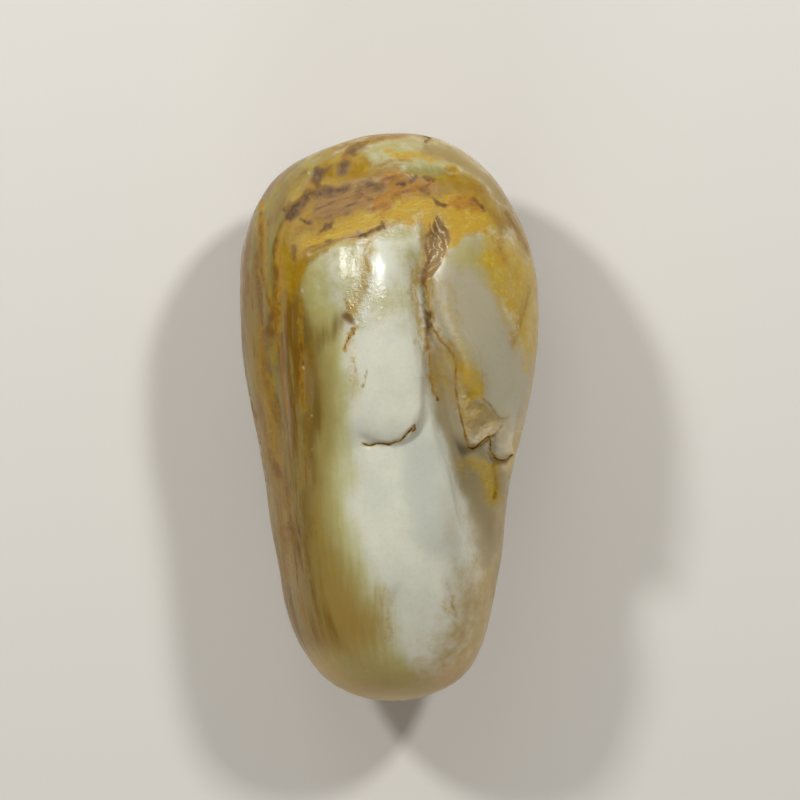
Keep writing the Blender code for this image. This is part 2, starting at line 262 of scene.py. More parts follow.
def depth_inside(places, outline):
    """How far each place is inside a closed outline, and less than 0 outside it."""
    closed = np.array([*outline, outline[0]], float)
    inside = np.zeros(len(places), bool)
    for (x0, y0), (x1, y1) in zip(closed[:-1], closed[1:]):
        spans = (y0 > places[:, 1]) != (y1 > places[:, 1])
        crossing = x0 + (places[:, 1] - y0) / (y1 - y0 + 1e-12) * (x1 - x0)
        inside ^= spans & (places[:, 0] < crossing)
    distance = np.abs(beside(places, closed)[0])
    return np.where(inside, distance, -distance)


def ends_fade(share, start=0.15, end=0.15):
    """1 along a line's middle, falling to 0 at its two ends."""
    return smooth_step(0, start, share) * smooth_step(0, end, 1 - share)


def lobe(places, edge, rise, shoulder, reach, trough=0.3, trough_width=0.9, fade=(0.15, 0.15)):
    """A lobe that ends in a rounded shoulder at its edge and sinks into the body behind it."""
    distance, share = beside(places, smooth_line(edge))
    rounded = np.clip(distance / shoulder, 0, 1)
    height = rise * (1 - (1 - rounded) ** 2.5) * smooth_step(-reach, 0, -distance)
    ditch = trough * np.exp(-((distance / trough_width + 1) ** 2))
    return (height - ditch) * ends_fade(share, *fade)


def groove(places, line, depth, widths, fade=(0.15, 0.15)):
    """A trough along a line, as wide at its two ends as widths says."""
    distance, share = beside(places, smooth_line(line))
    width = widths[0] + (widths[1] - widths[0]) * share
    return -depth * np.exp(-((distance / width) ** 2)) * ends_fade(share, *fade)


def hollow(places, outline, depth, bevel):
    """A dish with a bevelled rim."""
    return -depth * smooth_step(0, bevel, depth_inside(places, outline))


def swelling(places, centre, radii, height):
    """A broad soft rise, or a dip where height is negative."""
    away = (places - np.array(centre)) / np.array(radii)
    return height * np.exp(-np.sum(away**2, axis=1))


def face_relief(places):
    """How far the face stands out from the smooth body at each (across, along)."""
    relief = sum(swelling(places, *shape) for shape in SWELLINGS)
    relief += finger(places, TONGUE_CREST, TONGUE_HALF_WIDTHS, 2.5)
    relief += lobe(places, FLAP_EDGE, 2.4, 1.5, 10.0, trough=0.3, fade=(0.2, 0.06))
    relief += lobe(places, LOWER_BODY_EDGE, 0.6, 4.0, 9.0, trough=0.1, fade=(0.2, 0.6))
    relief += lobe(places, CLEFT_SHOULDER, 1.1, 2.4, 7.0, trough=0.2, fade=(0.4, 0.2))
    relief += lobe(places, STRIP_EDGE, 0.7, 1.6, 5.0, trough=0.1, fade=(0.1, 0.4))
    relief += lobe(places, CAP_EDGE, 0.5, 2.4, 7.0, trough=0.15, fade=(0.45, 0.3))
    relief += groove(places, CLEFT, 2.2, (1.2, 3.4), fade=(0.2, 0.3))
    relief += groove(places, BROW_GROOVE, 0.6, (1.6, 1.8), fade=(0.3, 0.3))
    for flute in LEFT_FLUTES:
        relief += groove(places, flute, 0.45, (1.3, 1.3), fade=(0.3, 0.3))
    relief += hollow(places, SHELF, 0.6, 2.6)
    relief += hollow(places, CHIP, 1.7, 1.2)
    relief += hollow(places, BROKEN_TIP, 0.9, 1.8)
    return relief


def wear(heights, reach):
    """The map of heights, blurred along both of its axes."""
    count = int(3 * reach / MAP_STEP)
    steps = np.arange(-count, count + 1) * MAP_STEP
    weights = np.exp(-((steps / reach) ** 2) / 2)
    weights /= weights.sum()
    for axis in (0, 1):
        heights = np.apply_along_axis(np.convolve, axis, heights, weights, "same")
    return heights


def relief_map():
    """The worn relief of the face, on a grid over it."""
    across, along = (np.arange(-half, half + MAP_STEP / 2, MAP_STEP) for half in MAP_HALF_SIZE)
    grid = np.stack(np.meshgrid(across, along, indexing="ij"), axis=-1)
    return wear(face_relief(grid.reshape(-1, 2)).reshape(grid.shape[:2]), WEAR)


def read_map(heights, places):
    """The map's height at each (across, along), between its four nearest points."""
    at = (places + np.array(MAP_HALF_SIZE)) / MAP_STEP
    cell = np.clip(at.astype(int), 0, np.array(heights.shape) - 2)
    (i, j), (u, v) = cell.T, (at - cell).T
    near = heights[i, j] * (1 - u) + heights[i + 1, j] * u
    far = heights[i, j + 1] * (1 - u) + heights[i + 1, j + 1] * u
    return near * (1 - v) + far * v


def read_vectors(items, name):
    """A vector of each item, as rows."""
    values = np.empty(len(items) * 3, np.float32)
    items.foreach_get(name, values)
    return values.reshape(-1, 3).astype(float)


# ---- Noise ----

LATTICE = 64
NOISE_SPREAD = 1.5  # brings the noise near -1 and 1


def noise(places, size, seed):
    """Soft noise from about -1 to 1, with features about size across, at each place in 3-D."""
    table = np.random.default_rng(seed).uniform(-1, 1, (LATTICE, LATTICE, LATTICE))
    at = places / np.array(size)
    cell = np.floor(at).astype(int)
    part = at - cell
    part = part * part * (3 - 2 * part)
    total = np.zeros(len(places))
    for corner in np.ndindex(2, 2, 2):
        i, j, k = ((cell + corner) % LATTICE).T
        total += table[i, j, k] * np.prod(np.where(corner, part, 1 - part), axis=1)
    return total * NOISE_SPREAD


def turned(places, degrees):
    """The places in axes turned about Z, so that the first axis runs at that angle from X."""
    c, s = math.cos(math.radians(degrees)), math.sin(math.radians(degrees))
    return np.column_stack([
        places[:, 0] * c + places[:, 1] * s, places[:, 1] * c - places[:, 0] * s, places[:, 2]
    ])


# ---- The fine mesh ----


def stone_angles(ball):
    """The stone's latitude and turn for points of the unit ball, crowded on its face and middle."""
    latitude = np.arcsin(np.clip(ball[:, 2], -1, 1))
    turn = np.arctan2(ball[:, 1], ball[:, 0])
    return latitude - MIDDLE_CROWDING * np.sin(2 * latitude), turn - FACE_CROWDING * np.sin(turn)


def stone_places(latitude, turn):
    """Where the smooth body's points lie, and its outward directions there."""
    step = 0.01
    low = np.clip(latitude - step, -math.pi / 2 + 1e-3, math.pi / 2)
    high = np.clip(latitude + step, -math.pi / 2, math.pi / 2 - 1e-3)
    lengthways = body_form(high, turn) - body_form(low, turn)
    sideways = body_form(latitude, turn + step) - body_form(latitude, turn - step)
    outward = np.cross(sideways, lengthways)
    size = np.linalg.norm(outward, axis=1, keepdims=True)
    ends = np.column_stack([0 * latitude, np.sign(latitude), 0 * latitude])
    return body_form(latitude, turn), np.where(size > 1e-4, outward / np.maximum(size, 1e-9), ends)


def on_face(outward):
    """1 where the surface looks up, falling to 0 on the sides."""
    return smooth_step(0.0, 0.45, outward[:, 2])


def detail_wanted(places, outward):
    """Where the skin has cracks, chips or crisp edges, which need the finest mesh."""
    flat = places[:, :2]
    near = np.zeros(len(places), bool)
    for line, reach in (
        (FLAP_EDGE, 1.6), (CLEFT[:8], 1.2), *((crack[0], 1.0) for crack in CRACKS)
    ):
        near |= np.abs(beside(flat, smooth_line(line))[0]) < reach
    for outline in (CHIP, BROKEN_TIP, SHELF):
        near |= depth_inside(flat, outline) > 0
    return near & (outward[:, 2] > 0.1)


def refine(sphere, wanted):
    """Cuts the faces of the unit ball in four where wanted says so, given their centres."""
    centres = np.array([face.calc_center_median() for face in sphere.faces])
    centres /= np.linalg.norm(centres, axis=1, keepdims=True)
    chosen = wanted(*stone_places(*stone_angles(centres)))
    edges = {edge for face, wants in zip(sphere.faces, chosen) if wants for edge in face.edges}
    bmesh.ops.subdivide_edges(sphere, edges=list(edges), cuts=1, use_grid_fill=True)
    bmesh.ops.triangulate(sphere, faces=[face for face in sphere.faces if len(face.verts) > 4])
    for vert in sphere.verts:
        vert.co.normalize()


def chip_ridges(places):
    """Ridges of the chip's two scallops, from -1 to 1, each curved round its own middle."""
    flat = places[:, :2]
    upper, lower = (
        np.linalg.norm(flat - np.array(middle), axis=1) for middle in SCALLOP_MIDDLES
    )
    upper_share = smooth_step(-0.2, 0.2, flat[:, 1] + 0.3 * flat[:, 0] - SCALLOP_BORDER)
    ring = lower + (upper - lower) * upper_share
    ring += 0.3 * noise(places, 1.4, 41) + 0.1 * noise(places, 0.5, 40)
    return np.sin(ring * 2 * math.pi / RIDGE_SPACING)


def fine_relief(places):
    """The face's small forms: cracks, dents, the chip's ridges and the shelf's fibres."""
    flat = places[:, :2]
    relief = np.zeros(len(places))
    shaken = flat + 0.12 * np.column_stack([noise(places, 0.8, 31), noise(places, 0.8, 32)])
    for line, depth, half_width in CRACKS:
        relief += groove(shaken, line, depth, (half_width, half_width), fade=(0.08, 0.08))
    line, height, half_width = BROW_RIDGE
    relief += groove(flat, line, -height, (half_width, half_width), fade=(0.3, 0.4))
    for centre, radii, depth in DENTS:
        relief += swelling(shaken, centre, radii, -depth)

    chip = smooth_step(0, 0.9, depth_inside(flat, CHIP))
    relief += chip * (0.18 * chip_ridges(places) + 0.08 * noise(places, 0.6, 42))

    broken = smooth_step(0, 1.0, depth_inside(flat, BROKEN_TIP))
    relief += broken * (0.16 * noise(places, 1.5, 43) + 0.06 * noise(places, 0.5, 44))

    shelf = smooth_step(0, 2.0, depth_inside(flat, SHELF))
    fibres = turned(places, 18)
    relief += shelf * 0.13 * noise(fibres, (5.0, 1.2, 2.0), 45)
    relief += shelf * 0.06 * noise(fibres, (1.8, 0.5, 2.0), 46)
    relief += shelf * (0.14 * noise(places, 3.0, 47) + 0.07 * noise(places, 0.9, 48))
    return relief


def shape_stone():
    """The fine stone: its mesh, its places in millimetres, its outward directions and its grain."""
    sphere = bmesh.new()
    bmesh.ops.create_uvsphere(sphere, u_segments=COLUMNS, v_segments=ROWS, radius=1)
    refine(sphere, lambda places, outward: outward[:, 2] > 0.05)
    refine(sphere, detail_wanted)
    mesh = bpy.data.meshes.new("jade_pebble_fine")
    sphere.to_mesh(mesh)
    sphere.free()

    latitude, turn = stone_angles(read_vectors(mesh.vertices, "co"))
    places, outward = stone_places(latitude, turn)
    relief = read_map(relief_map(), places[:, :2]) + fine_relief(places)
    swell = 0.10 * noise(places, 9.0, 11) + 0.05 * noise(places, 4.0, 12)
    places = places + outward * (on_face(outward) * relief + swell)[:, None]
    places[:, 2] = np.maximum(places[:, 2], 0)
    mesh.vertices.foreach_set("co", (places * MILLIMETRE).ravel())
    mesh.update()
    grain = np.column_stack([np.sin(turn), HALF_LENGTH / GRAIN_RADIUS * latitude, np.cos(turn)])
    return mesh, places, outward, grain * GRAIN_RADIUS


# ---- The skin's stains, and the painted shade and highlights, in millimetres over the face ----

# The white jade shows on the right of this line, and olive skin on its left.
WORN_EDGE = (
    (-12.0, 34.0), (-13.0, 27.3), (-12.4, 21.0), (-10.8, 16.0), (-9.4, 10.0), (-9.0, 3.0),
    (-9.4, -7.6), (-8.8, -14.6), (-7.6, -21.6), (-5.0, -28.7), (-2.6, -35.7), (0.6, -41.9),
    (6.0, -48.0),
)
# Brown skin lies on the left of this line.
FLANK_EDGE = (
    (-15.0, 40.0), (-16.0, 34.0), (-15.4, 27.6), (-14.6, 18.8), (-13.8, 10.0), (-13.4, 3.0),
    (-13.6, -4.0), (-13.2, -11.1), (-12.8, -18.1), (-12.2, -26.9), (-11.0, -35.7), (-7.6, -42.8),
    (-1.0, -48.5),
)

# Washes of a colour: the softness of the edge, the strength, a closed outline of (across, along).
KHAKI = (
    (0.9, 0.7, (4.9, 34.3), (7.4, 35.7), (7.4, 31.2), (6.7, 27.3), (6.2, 22.4), (4.9, 22),
     (5.1, 27.3)),
    (0.7, 0.7, (8.1, 35.7), (9.9, 36.4), (11.6, 31.2), (10.9, 27.3), (10.2, 27.3), (10.4, 31.2)),
    (1.8, 0.5, (6, 16), (7.7, 14.6), (9.9, 11.4), (10.9, 6.9), (11.6, 2.3), (8.8, 2.6), (7, 5.6),
     (6.2, 11.8)),
    (1.6, 0.92, (-18.7, 26.2), (-19.2, 31.2), (-18.3, 35.7), (-16.4, 38.9), (-14.1, 41),
     (-11.6, 43.8), (-8.8, 45.6), (-6.3, 46.8), (-4.9, 45.9), (-2.8, 43.8), (0.7, 43.5),
     (4.2, 42.4), (7.7, 42.1), (10.9, 43.1), (14.4, 41.4), (17.2, 38.9), (20.1, 35.7), (22.2, 32.6),
     (19.4, 31.5), (16.9, 33.3), (14.1, 31.2), (10.9, 31.2), (9.5, 32.6), (8.4, 35.7), (5.3, 35.4),
     (1.8, 33.3), (-0.7, 32.2), (-3.5, 31), (-7.9, 29.9), (-11.3, 29), (-13.7, 27.6), (-15, 23.2),
     (-16.9, 19.7)),
    (1.0, 0.9, (-12.7, 45.6), (-8.8, 48.2), (-4.2, 50), (1.8, 50.5), (8.1, 49.8), (6.7, 48.4),
     (1.1, 48.8), (-3.2, 48.2), (-7.4, 46.8), (-11.3, 44.5)),
)
GREEN = (
    (1.8, 0.75, (-7.4, 47), (-4.2, 48.4), (0, 48.9), (5.3, 48.6), (9.9, 47.5), (14.1, 45.2),
     (17.6, 42.1), (20.4, 38.2), (18.3, 38.9), (14.8, 41.7), (11.6, 42.8), (10.6, 41), (7, 40.7),
     (3.5, 41), (0.4, 41.7), (-2.8, 42.4), (-5.6, 44.2)),
    (3.0, 0.6, (-14.8, 26.9), (-12, 28), (-7, 29.4), (-3.2, 30.4), (-2.8, 24.1), (-3.2, 19.5),
     (-4.9, 15.3), (-8.1, 14.6), (-12, 13.2), (-14.4, 14.3), (-15.1, 20.6)),
    (4.0, 0.5, (-4.9, 22.4), (-1.1, 23.1), (4.2, 24.8), (5.3, 17.4), (2.5, 16), (-1.8, 16.4),
     (-5.3, 14.6)),
    (1.6, 0.75, (-11.3, 29.4), (-7, 31.2), (-3.2, 32.2), (0, 33.6), (3.5, 33.3), (7, 35.4),
     (6.7, 31.2), (2.5, 30.1), (-1.1, 30.8), (-4.6, 29.4), (-8.8, 27.3)),
    (3.0, 0.55, (0.7, 32.9), (6.3, 34), (6.7, 22), (3.2, 21.3), (1.4, 27.3)),
    (2.4, 0.7, (10.9, 31.9), (17.6, 31.9), (19, 27.3), (18.3, 22.4), (14.1, 24.8), (10.9, 26.2)),
    (2.0, 0.45, (8.1, 20.6), (9.9, 22.4), (11.6, 17.1), (14.1, 11.4), (16.5, 4.8), (14.1, 4.4),
     (10.9, 11.8)),
    (3.0, 0.5, (-12, 15.3), (-7.7, 16), (-6.7, 6.5), (-7.7, -2.3), (-9.9, -2.3), (-11.3, 6.5)),
)
TAN = (
    (4.5, 0.5, (10.6, -23.4), (15, -27.3), (19, -27.3), (18.3, -34), (16.2, -39.2), (12.7, -43.5),
     (6, -44.9), (8.1, -39.2), (10.6, -32.2)),
    (3.0, 0.3, (8.1, -11.1), (10.9, -14.6), (14.1, -25.2), (12.7, -28.7), (9.9, -25.2),
     (8.4, -18.1)),
    (1.2, 0.55, (11.8, 3.7), (15.8, 3), (20.8, 0.5), (18.7, -2.3), (14.4, -5.1), (12.7, -2.3)),
    (2.5, 0.6, (19.4, -9.3), (23.6, -11.1), (22.5, -25.2), (19.7, -39.2), (16.9, -34), (18, -21.6)),
    (1.6, 0.8, (18.7, 38.2), (22.5, 36.1), (25.3, 30.3), (26.8, 22), (25, 23.4), (22.9, 29.4),
     (20.8, 34)),
    (1.3, 0.95, (6, 47.7), (9.9, 47), (13.4, 44.9), (16.9, 42.4), (20.1, 39.2), (22.9, 35.4),
     (24.6, 31.2), (23.2, 31.5), (20.4, 35.7), (16.9, 39.6), (13.4, 42.8), (9.5, 44.7),
     (6.7, 45.6)),
)
GREY = (
    (1.6, 1.0, (7, 22.7), (8.4, 23.4), (10.6, 28.3), (11.6, 31.2), (16.9, 31.2), (18.3, 26.2),
     (20.1, 20.6), (21.5, 15.3), (25.3, 11.4), (25, 6.5), (23.2, 1.2), (20.8, -4), (18.3, -7.2),
     (16.5, -4), (13.7, -5.1), (12.7, -0.5), (11.6, 5.8), (8.8, 12.7), (7, 17.1)),
    (1.0, 0.6, (-11.6, 40), (-9.2, 41.7), (-6.7, 42.4), (-6, 41.4), (-8.4, 40.1), (-10.6, 38.9)),
)
PALE = (
    (1.0, 0.7, (-18.3, 34), (-14.8, 34.3), (-12.7, 32.6), (-14.8, 30.1), (-16.4, 27.3),
     (-18.3, 27.3), (-18.7, 31.2)),
    (0.9, 0.65, (-18.7, 38.2), (-15.8, 41.7), (-12, 44.7), (-8.4, 46.1), (-9.9, 43.8),
     (-13.4, 41.4), (-16.5, 37.8)),
    (1.0, 0.8, (1.1, 42.1), (3.9, 43.8), (7.4, 44), (9.5, 43.1), (10.2, 42.1), (7.7, 41.4),
     (3.5, 41.4)),
    (0.9, 0.7, (-24.6, 27.3), (-24.3, 31.2), (-23.4, 35.4), (-21.5, 38.9), (-18.7, 42.1),
     (-14.8, 45.1), (-10.6, 46.8), (-10.2, 46.3), (-14.4, 44.2), (-18, 41), (-20.4, 37.8),
     (-22.2, 34.3), (-23.1, 30.8), (-23.4, 26.6)),
    (0.8, 0.85, (-21.1, 27.3), (-21.3, 31.5), (-20.8, 34.3), (-19.2, 37.5), (-17.8, 39.2),
     (-18.7, 36.4), (-19.7, 33.6), (-19.9, 27.3)),
    (0.8, 0.5, (-21.5, 31.2), (-19.9, 31.2), (-19.9, 20.6), (-20.8, 19.9), (-21.5, 24.1)),
    (1.2, 0.4, (-26, 22.4), (-23.2, 20.6), (-21.5, 13.6), (-22.5, 3), (-24.3, 6.5), (-25.3, 13.6)),
    (1.2, 0.5, (-18.3, 41.7), (-15.8, 43.5), (-12.7, 45.2), (-13.7, 43.1), (-16.2, 41),
     (-18, 38.2)),
)
UMBER = (
    (1.5, 1.0, (-12.7, 36.6), (-12, 37.8), (-10.6, 38.9), (-7.9, 39.8), (-4.6, 41), (-1.4, 41.4),
     (0.4, 40), (-1.1, 38.4), (-3.9, 37), (-6.7, 35.4), (-10.2, 34), (-13.7, 34.3)),
    (0.8, 0.5, (-2.5, 43.8), (0.4, 44.5), (3.2, 44.5), (3.9, 43.5), (1.1, 42.2), (-1.8, 41.2),
     (-4.9, 41), (-6.7, 40.3)),
    (0.9, 0.6, (18.7, 37.5), (21.1, 35.4), (23.2, 32.2), (24.6, 28.3), (23.2, 29.4), (20.4, 33.6)),
    (1.0, 0.5, (4.9, 40), (8.8, 40.7), (12.7, 40.3), (14.1, 38.5), (11.6, 38.7), (8.8, 37.5)),
)
OCHRE = (
    (0.6, 0.9, (5.6, 37.1), (8.8, 38.5), (11.3, 37.1), (12.8, 33.6), (12.5, 30.8), (10.9, 29.4),
     (8.8, 29.4), (6.7, 31.2), (5.6, 33.6)),
    (1.6, 1.0, (-16.2, 28.3), (-14.8, 30.8), (-11.3, 32.6), (-7.4, 34.3), (-4.2, 35.7),
     (-1.1, 36.8), (2.1, 37.8), (5.3, 38), (7.7, 37.3), (8.3, 35.7), (6, 35), (3.2, 32.9),
     (1.1, 33.4), (-1.1, 33.4), (-4.2, 31.9), (-7.7, 30.6), (-12, 29.4)),
    (1.6, 1.1, (6, 37.5), (8.8, 38.2), (12, 38.9), (14.4, 38.4), (16.2, 36.4), (17.6, 34),
     (16.9, 31.5), (14.1, 31.9), (11.6, 31.2), (10.2, 31.5), (9.3, 35), (7.7, 36.1), (6, 34.3)),
    (0.6, 0.8, (-0.9, 46.6), (2.5, 46.1), (5.3, 46.3), (7.7, 45.4), (10, 44.2), (8.1, 44.2),
     (5.3, 44.7), (2.1, 44.5), (-0.4, 45.2)),
    (0.5, 0.9, (9.3, 43.8), (10.9, 44), (12.3, 42.9), (11.6, 42.1), (9.9, 42.4)),
)
YELLOW = (
    (3.4, 1.1, (15.5, 32.9), (19.4, 32.2), (22.5, 30.1), (25, 26.9), (26.4, 20.6), (26.4, 11.8),
     (23.6, 9.3), (22.2, 13.6), (20.4, 18.1), (18.7, 20.9), (17.2, 24.1), (16.2, 28)),
    (0.8, 0.6, (-15.8, 29), (-14.4, 31.2), (-10.9, 32.9), (-6.7, 34.7), (-6.7, 33.6), (-10.6, 31.5),
     (-13.7, 29.4)),
    (0.8, 0.85, (11.6, 43.1), (14.4, 41), (17.6, 37.8), (20.4, 34.3), (21.8, 31.2), (20.1, 31.9),
     (17.2, 36.1), (14.1, 40), (10.9, 42.4)),
    (1.2, 0.6, (-18.3, 39.6), (-15.8, 41.7), (-13.7, 41.4), (-14.8, 39.2), (-16.9, 36.8),
     (-18.3, 35.7)),
    (1.8, 0.9, (9.7, 11.8), (11.6, 11.1), (14.1, 8.3), (15.8, 4.4), (14.4, 2.6), (12.7, 2.3),
     (11.3, 5.6)),
    (1.2, 0.3, (12, 3), (15.8, 3.3), (20.1, 0.9), (18.7, -1.2), (15.1, -2.3), (13, -3.3)),
    (2.4, 0.7, (10.6, -7.6), (19.4, -7.9), (19.7, -15.3), (17.6, -14.6), (15.8, -11.1),
     (12.7, -9.3)),
)
AMBER = (
    (1.5, 1.0, (-1.8, 42.1), (1.1, 43.1), (3.5, 41.7), (7, 41.2), (8.1, 38.9), (6, 37.8),
     (2.5, 38.2), (0.7, 36.8), (-0.7, 34.8), (-3.2, 34.7), (-4.2, 36.1), (-2.5, 38.2),
     (-0.7, 39.6)),
    (1.5, 1.0, (9.5, 37.5), (12.7, 39.2), (15.1, 38.2), (16.5, 36.1), (15.1, 35), (12, 35.7),
     (9.9, 36.1)),
    (0.8, 0.6, (-15.1, 40.7), (-13.7, 42.1), (-12.3, 42.1), (-13.4, 40.3), (-15.1, 39.2)),
    (0.7, 0.7, (-9.5, 45.2), (-7.7, 46.3), (-7, 45.2), (-8.8, 43.8)),
    (0.5, 0.9, (-22.9, 38.2), (-21.8, 37.5), (-21.8, 31.2), (-22, 22.4), (-22.5, 22.4),
     (-22.9, 31.2)),
    (0.6, 0.8, (-19.5, 31.5), (-18.3, 29.4), (-18.3, 22.4), (-19, 15.3), (-19.5, 15.3),
     (-19.5, 22.4)),
    (1.2, 0.4, (-22.2, 0.4), (-20.8, 3), (-19.5, -0.5), (-19, -7.9), (-18, -21.6), (-18.3, -32.2),
     (-19.7, -25.2), (-21.1, -14.6)),
    (1.6, 0.6, (16.5, 33.3), (19.4, 31.5), (21.1, 28.3), (20.8, 25.9), (19, 26.2), (17.6, 28.3)),
)
ROUGH = (
    (1.5, 1.0, (-2.8, 43.8), (0.4, 43.5), (7, 42.1), (8.8, 37.3), (10.6, 31.2), (8.8, 23.2),
     (6.2, 22.4), (5.3, 29.4), (1.8, 31.2), (-3.2, 29.4), (-4.9, 29.4), (-7, 30.1), (-15.8, 28),
     (-17.6, 32), (-10.6, 35.6)),
    (1.5, 1.0, (-6, 30.1), (-2.8, 30.1), (-2.8, 20.6), (-3.2, 15), (-7, 14.6), (-8.4, 19.2),
     (-6.7, 22.4)),
    (1.0, 0.55, (-9.9, 29.4), (-6, 30.1), (-6.3, 22), (-8.4, 19.9), (-9.5, 24.1)),
    (1.2, 0.4, (-2.8, 31.9), (1.1, 31.2), (0.7, 20.6), (0.4, 12.7), (-3.2, 12.7), (-3.2, 24.1)),
    (1.2, 1.0, (10.9, 5.8), (15.8, 3.7), (21.5, 0.9), (19.4, -2.3), (14.4, -5.8), (12.7, -2.3)),
)
# A grey-green tone of the cleft's floor, partly painted shade in the recess between the tongue, the
# flap and the lower body.
VALLEY_SHADES = (
    (3.0, 0.85, (12, -11.1), (20.1, -11.1), (19.4, -23.1), (16.9, -26.2), (14.8, -22.5)),
    (1.7, 1.0, (7, 13.6), (8.8, 12.5), (10.9, 8.3), (12, 2.3), (13.4, -4.8), (19.4, -7.9),
     (20.8, -9.3), (20.8, -14.6), (19.4, -14.6), (16.5, -16.4), (14.1, -14.6), (12, -12.8),
     (9.9, -5.8), (8.1, 1.2), (6.5, 6.5)),
)
# A cooler, greyer jade on the lower body and the cleft's foot, partly the jade's own tone, partly
# painted shade beside the cleft.
COOL_SHADES = (
    (3.0, 1.0, (2.5, -4), (7.4, -4), (10.6, -14.6), (12.7, -21.6), (9.9, -25.2), (5.3, -23.4),
     (2.5, -14.6)),
    (3.0, 0.4, (-1.8, -29.6), (7, -26.9), (8.8, -34), (1.8, -36.6)),
    (1.6, 0.7, (15.1, -14.6), (18, -14.6), (19.4, -21.6), (17.6, -24.5), (15.5, -21.6)),
)
EARTH = (
    (3.0, 0.45, (-13.7, -14.6), (-11.6, -14.6), (-9.5, -21.6), (-6.7, -26.9), (-3.2, -29.4),
     (0.7, -29.4), (0.5, -39.2), (-2.5, -41), (-6.7, -39.2), (-10.6, -34), (-13, -25.2)),
)
DARK_PATCHES = (
    (0.9, 1.0, (-18.3, 34), (-18, 36.1), (-16.5, 37.8), (-14.8, 39.2), (-13.4, 39.6), (-13.6, 38.2),
     (-14.8, 36.8), (-16, 35.2), (-17.2, 33.6)),
    (0.8, 0.85, (-14.4, 39.6), (-12, 40), (-9.5, 40), (-7, 40.5), (-7, 39.6), (-9.2, 38.5),
     (-12, 37.8), (-14.1, 38)),
    (0.8, 1.0, (-14.1, 41.4), (-13, 43.1), (-10.4, 44), (-10.9, 42.4), (-12.3, 41.2),
     (-13.6, 40.5)),
    (0.8, 0.95, (-9.5, 42.2), (-9.2, 44.2), (-7.7, 45.1), (-6.7, 44), (-7.9, 42.2)),
    (0.8, 0.8, (-8.3, 45.6), (-6.7, 47.3), (-4.2, 48), (-3.9, 47.2), (-6, 45.8)),
    (0.6, 1.0, (-12.5, 32), (-11.4, 33.6), (-10, 34), (-10.2, 32.7), (-11.3, 31.9)),
    (0.8, 0.7, (-8.3, 17.6), (-6.9, 17.8), (-6.3, 16.4), (-7.4, 15.7)),
    (0.6, 0.8, (6.2, 17.8), (7.4, 17.8), (7.4, 15.3), (6.5, 15.3)),
    (0.8, 0.6, (-21.6, 18.5), (-20.4, 17.8), (-20.2, 13.6), (-21.5, 13.2)),
    (0.7, 0.5, (-5.3, 40.7), (-3.2, 41.4), (-2.5, 40.3), (-4.2, 39.2)),
)
DULL = (
    (1.2, 1.0, (5.3, 37.8), (8.1, 38.9), (10.9, 38.9), (13, 35.7), (13.7, 31.5), (12.7, 26.9),
     (10.2, 27.3), (8.8, 33.3), (7, 31.9), (5.3, 33.6)),
    (1.2, 1.0, (3.2, 26.2), (6, 27.3), (8.1, 24.1), (7.7, 15.3), (7, 7.9), (4.9, 7.9), (4.2, 15.3),
     (3.2, 20.6)),
    (0.8, 1.0, (-5.3, -4.2), (-3.2, -4), (0, -4.2), (0, -6.2), (-3.2, -6.9), (-5.3, -5.8)),
    (1.2, 1.0, (-18.7, 31.2), (-18.3, 37.3), (-15.8, 40), (-10.6, 40.7), (-4.9, 41.4), (-2.8, 40),
     (-3.2, 35.4), (-8.8, 30.1), (-15.8, 27.3)),
    (1.2, 1.0, (6, 34.3), (8.8, 35.7), (11.6, 32.6), (10.9, 27.3), (9.5, 20.6), (10.6, 15.3),
     (8.1, 15.3), (7, 20.6), (7.7, 27.3)),
)
# Strokes of a colour: the half-width, the strength, a line of (across, along).
DARK = (
    (0.5, 0.6, (-9.9, 38.9), (-7.4, 39.4)),
    (0.5, 0.8, (-13.2, 41.2), (-12, 39.8)),
    (0.4, 0.85, (-15.5, 34.3), (-14.4, 33.8), (-13.7, 33.6)),
    (0.45, 0.8, (-18, 36.3), (-17.6, 35.7)),
    (0.4, 0.85, (-4.6, 31.2), (-3.5, 31.7), (-2.5, 32.4), (-1.1, 33.1)),
    (0.4, 0.9, (-1.4, 33.3), (-0.9, 32.7)),
    (0.4, 1.0, (1.1, 40.3), (2.5, 40.5)),
    (0.4, 0.7, (3.7, 40.8), (4.8, 41.4)),
    (0.4, 0.7, (6.7, 41.5), (7.2, 41)),
    (0.4, 0.55, (4.9, 39.8), (5.8, 39.2), (6.5, 38.7)),
    (0.35, 0.55, (7.2, 38), (7.9, 37.3)),
    (0.45, 0.9, (8.1, 37.1), (9.2, 36.8)),
    (0.5, 0.7, (14.3, 37.7), (14.8, 37.1)),
    (0.4, 0.6, (15.3, 36.8), (16.2, 36.6)),
    (0.4, 1.0, (15.8, 36.3), (16, 35.9)),
    (0.4, 0.5, (9.7, 43.1), (10.6, 42.8)),
    (0.35, 0.8, (-6.2, 15), (-6, 14.3)),
    (0.5, 0.45, (-24.5, 2.6), (-23.6, 0.5)),
    (0.5, 0.7, (-16.5, 29.4), (-16.5, 27.3)),
    (0.5, 0.45, (-6.2, 37.1), (-5.3, 39.6)),
    (0.35, 0.8, (6.2, 49.1), (6.5, 48.4)),
    (0.3, 1.0, (3.7, -1.8), (3.9, -1.6)),
    (0.35, 0.9, (8.3, 3.3), (8.3, 3)),
    (0.3, 0.35, (9.3, 33.1), (10.2, 31.5), (10.6, 30.6)),
    # painted shade in the crevice along the chip's left wall
    (0.3, 0.6, (7, 32.9), (6.5, 29.7), (6.3, 26.8), (6, 23.4)),
)
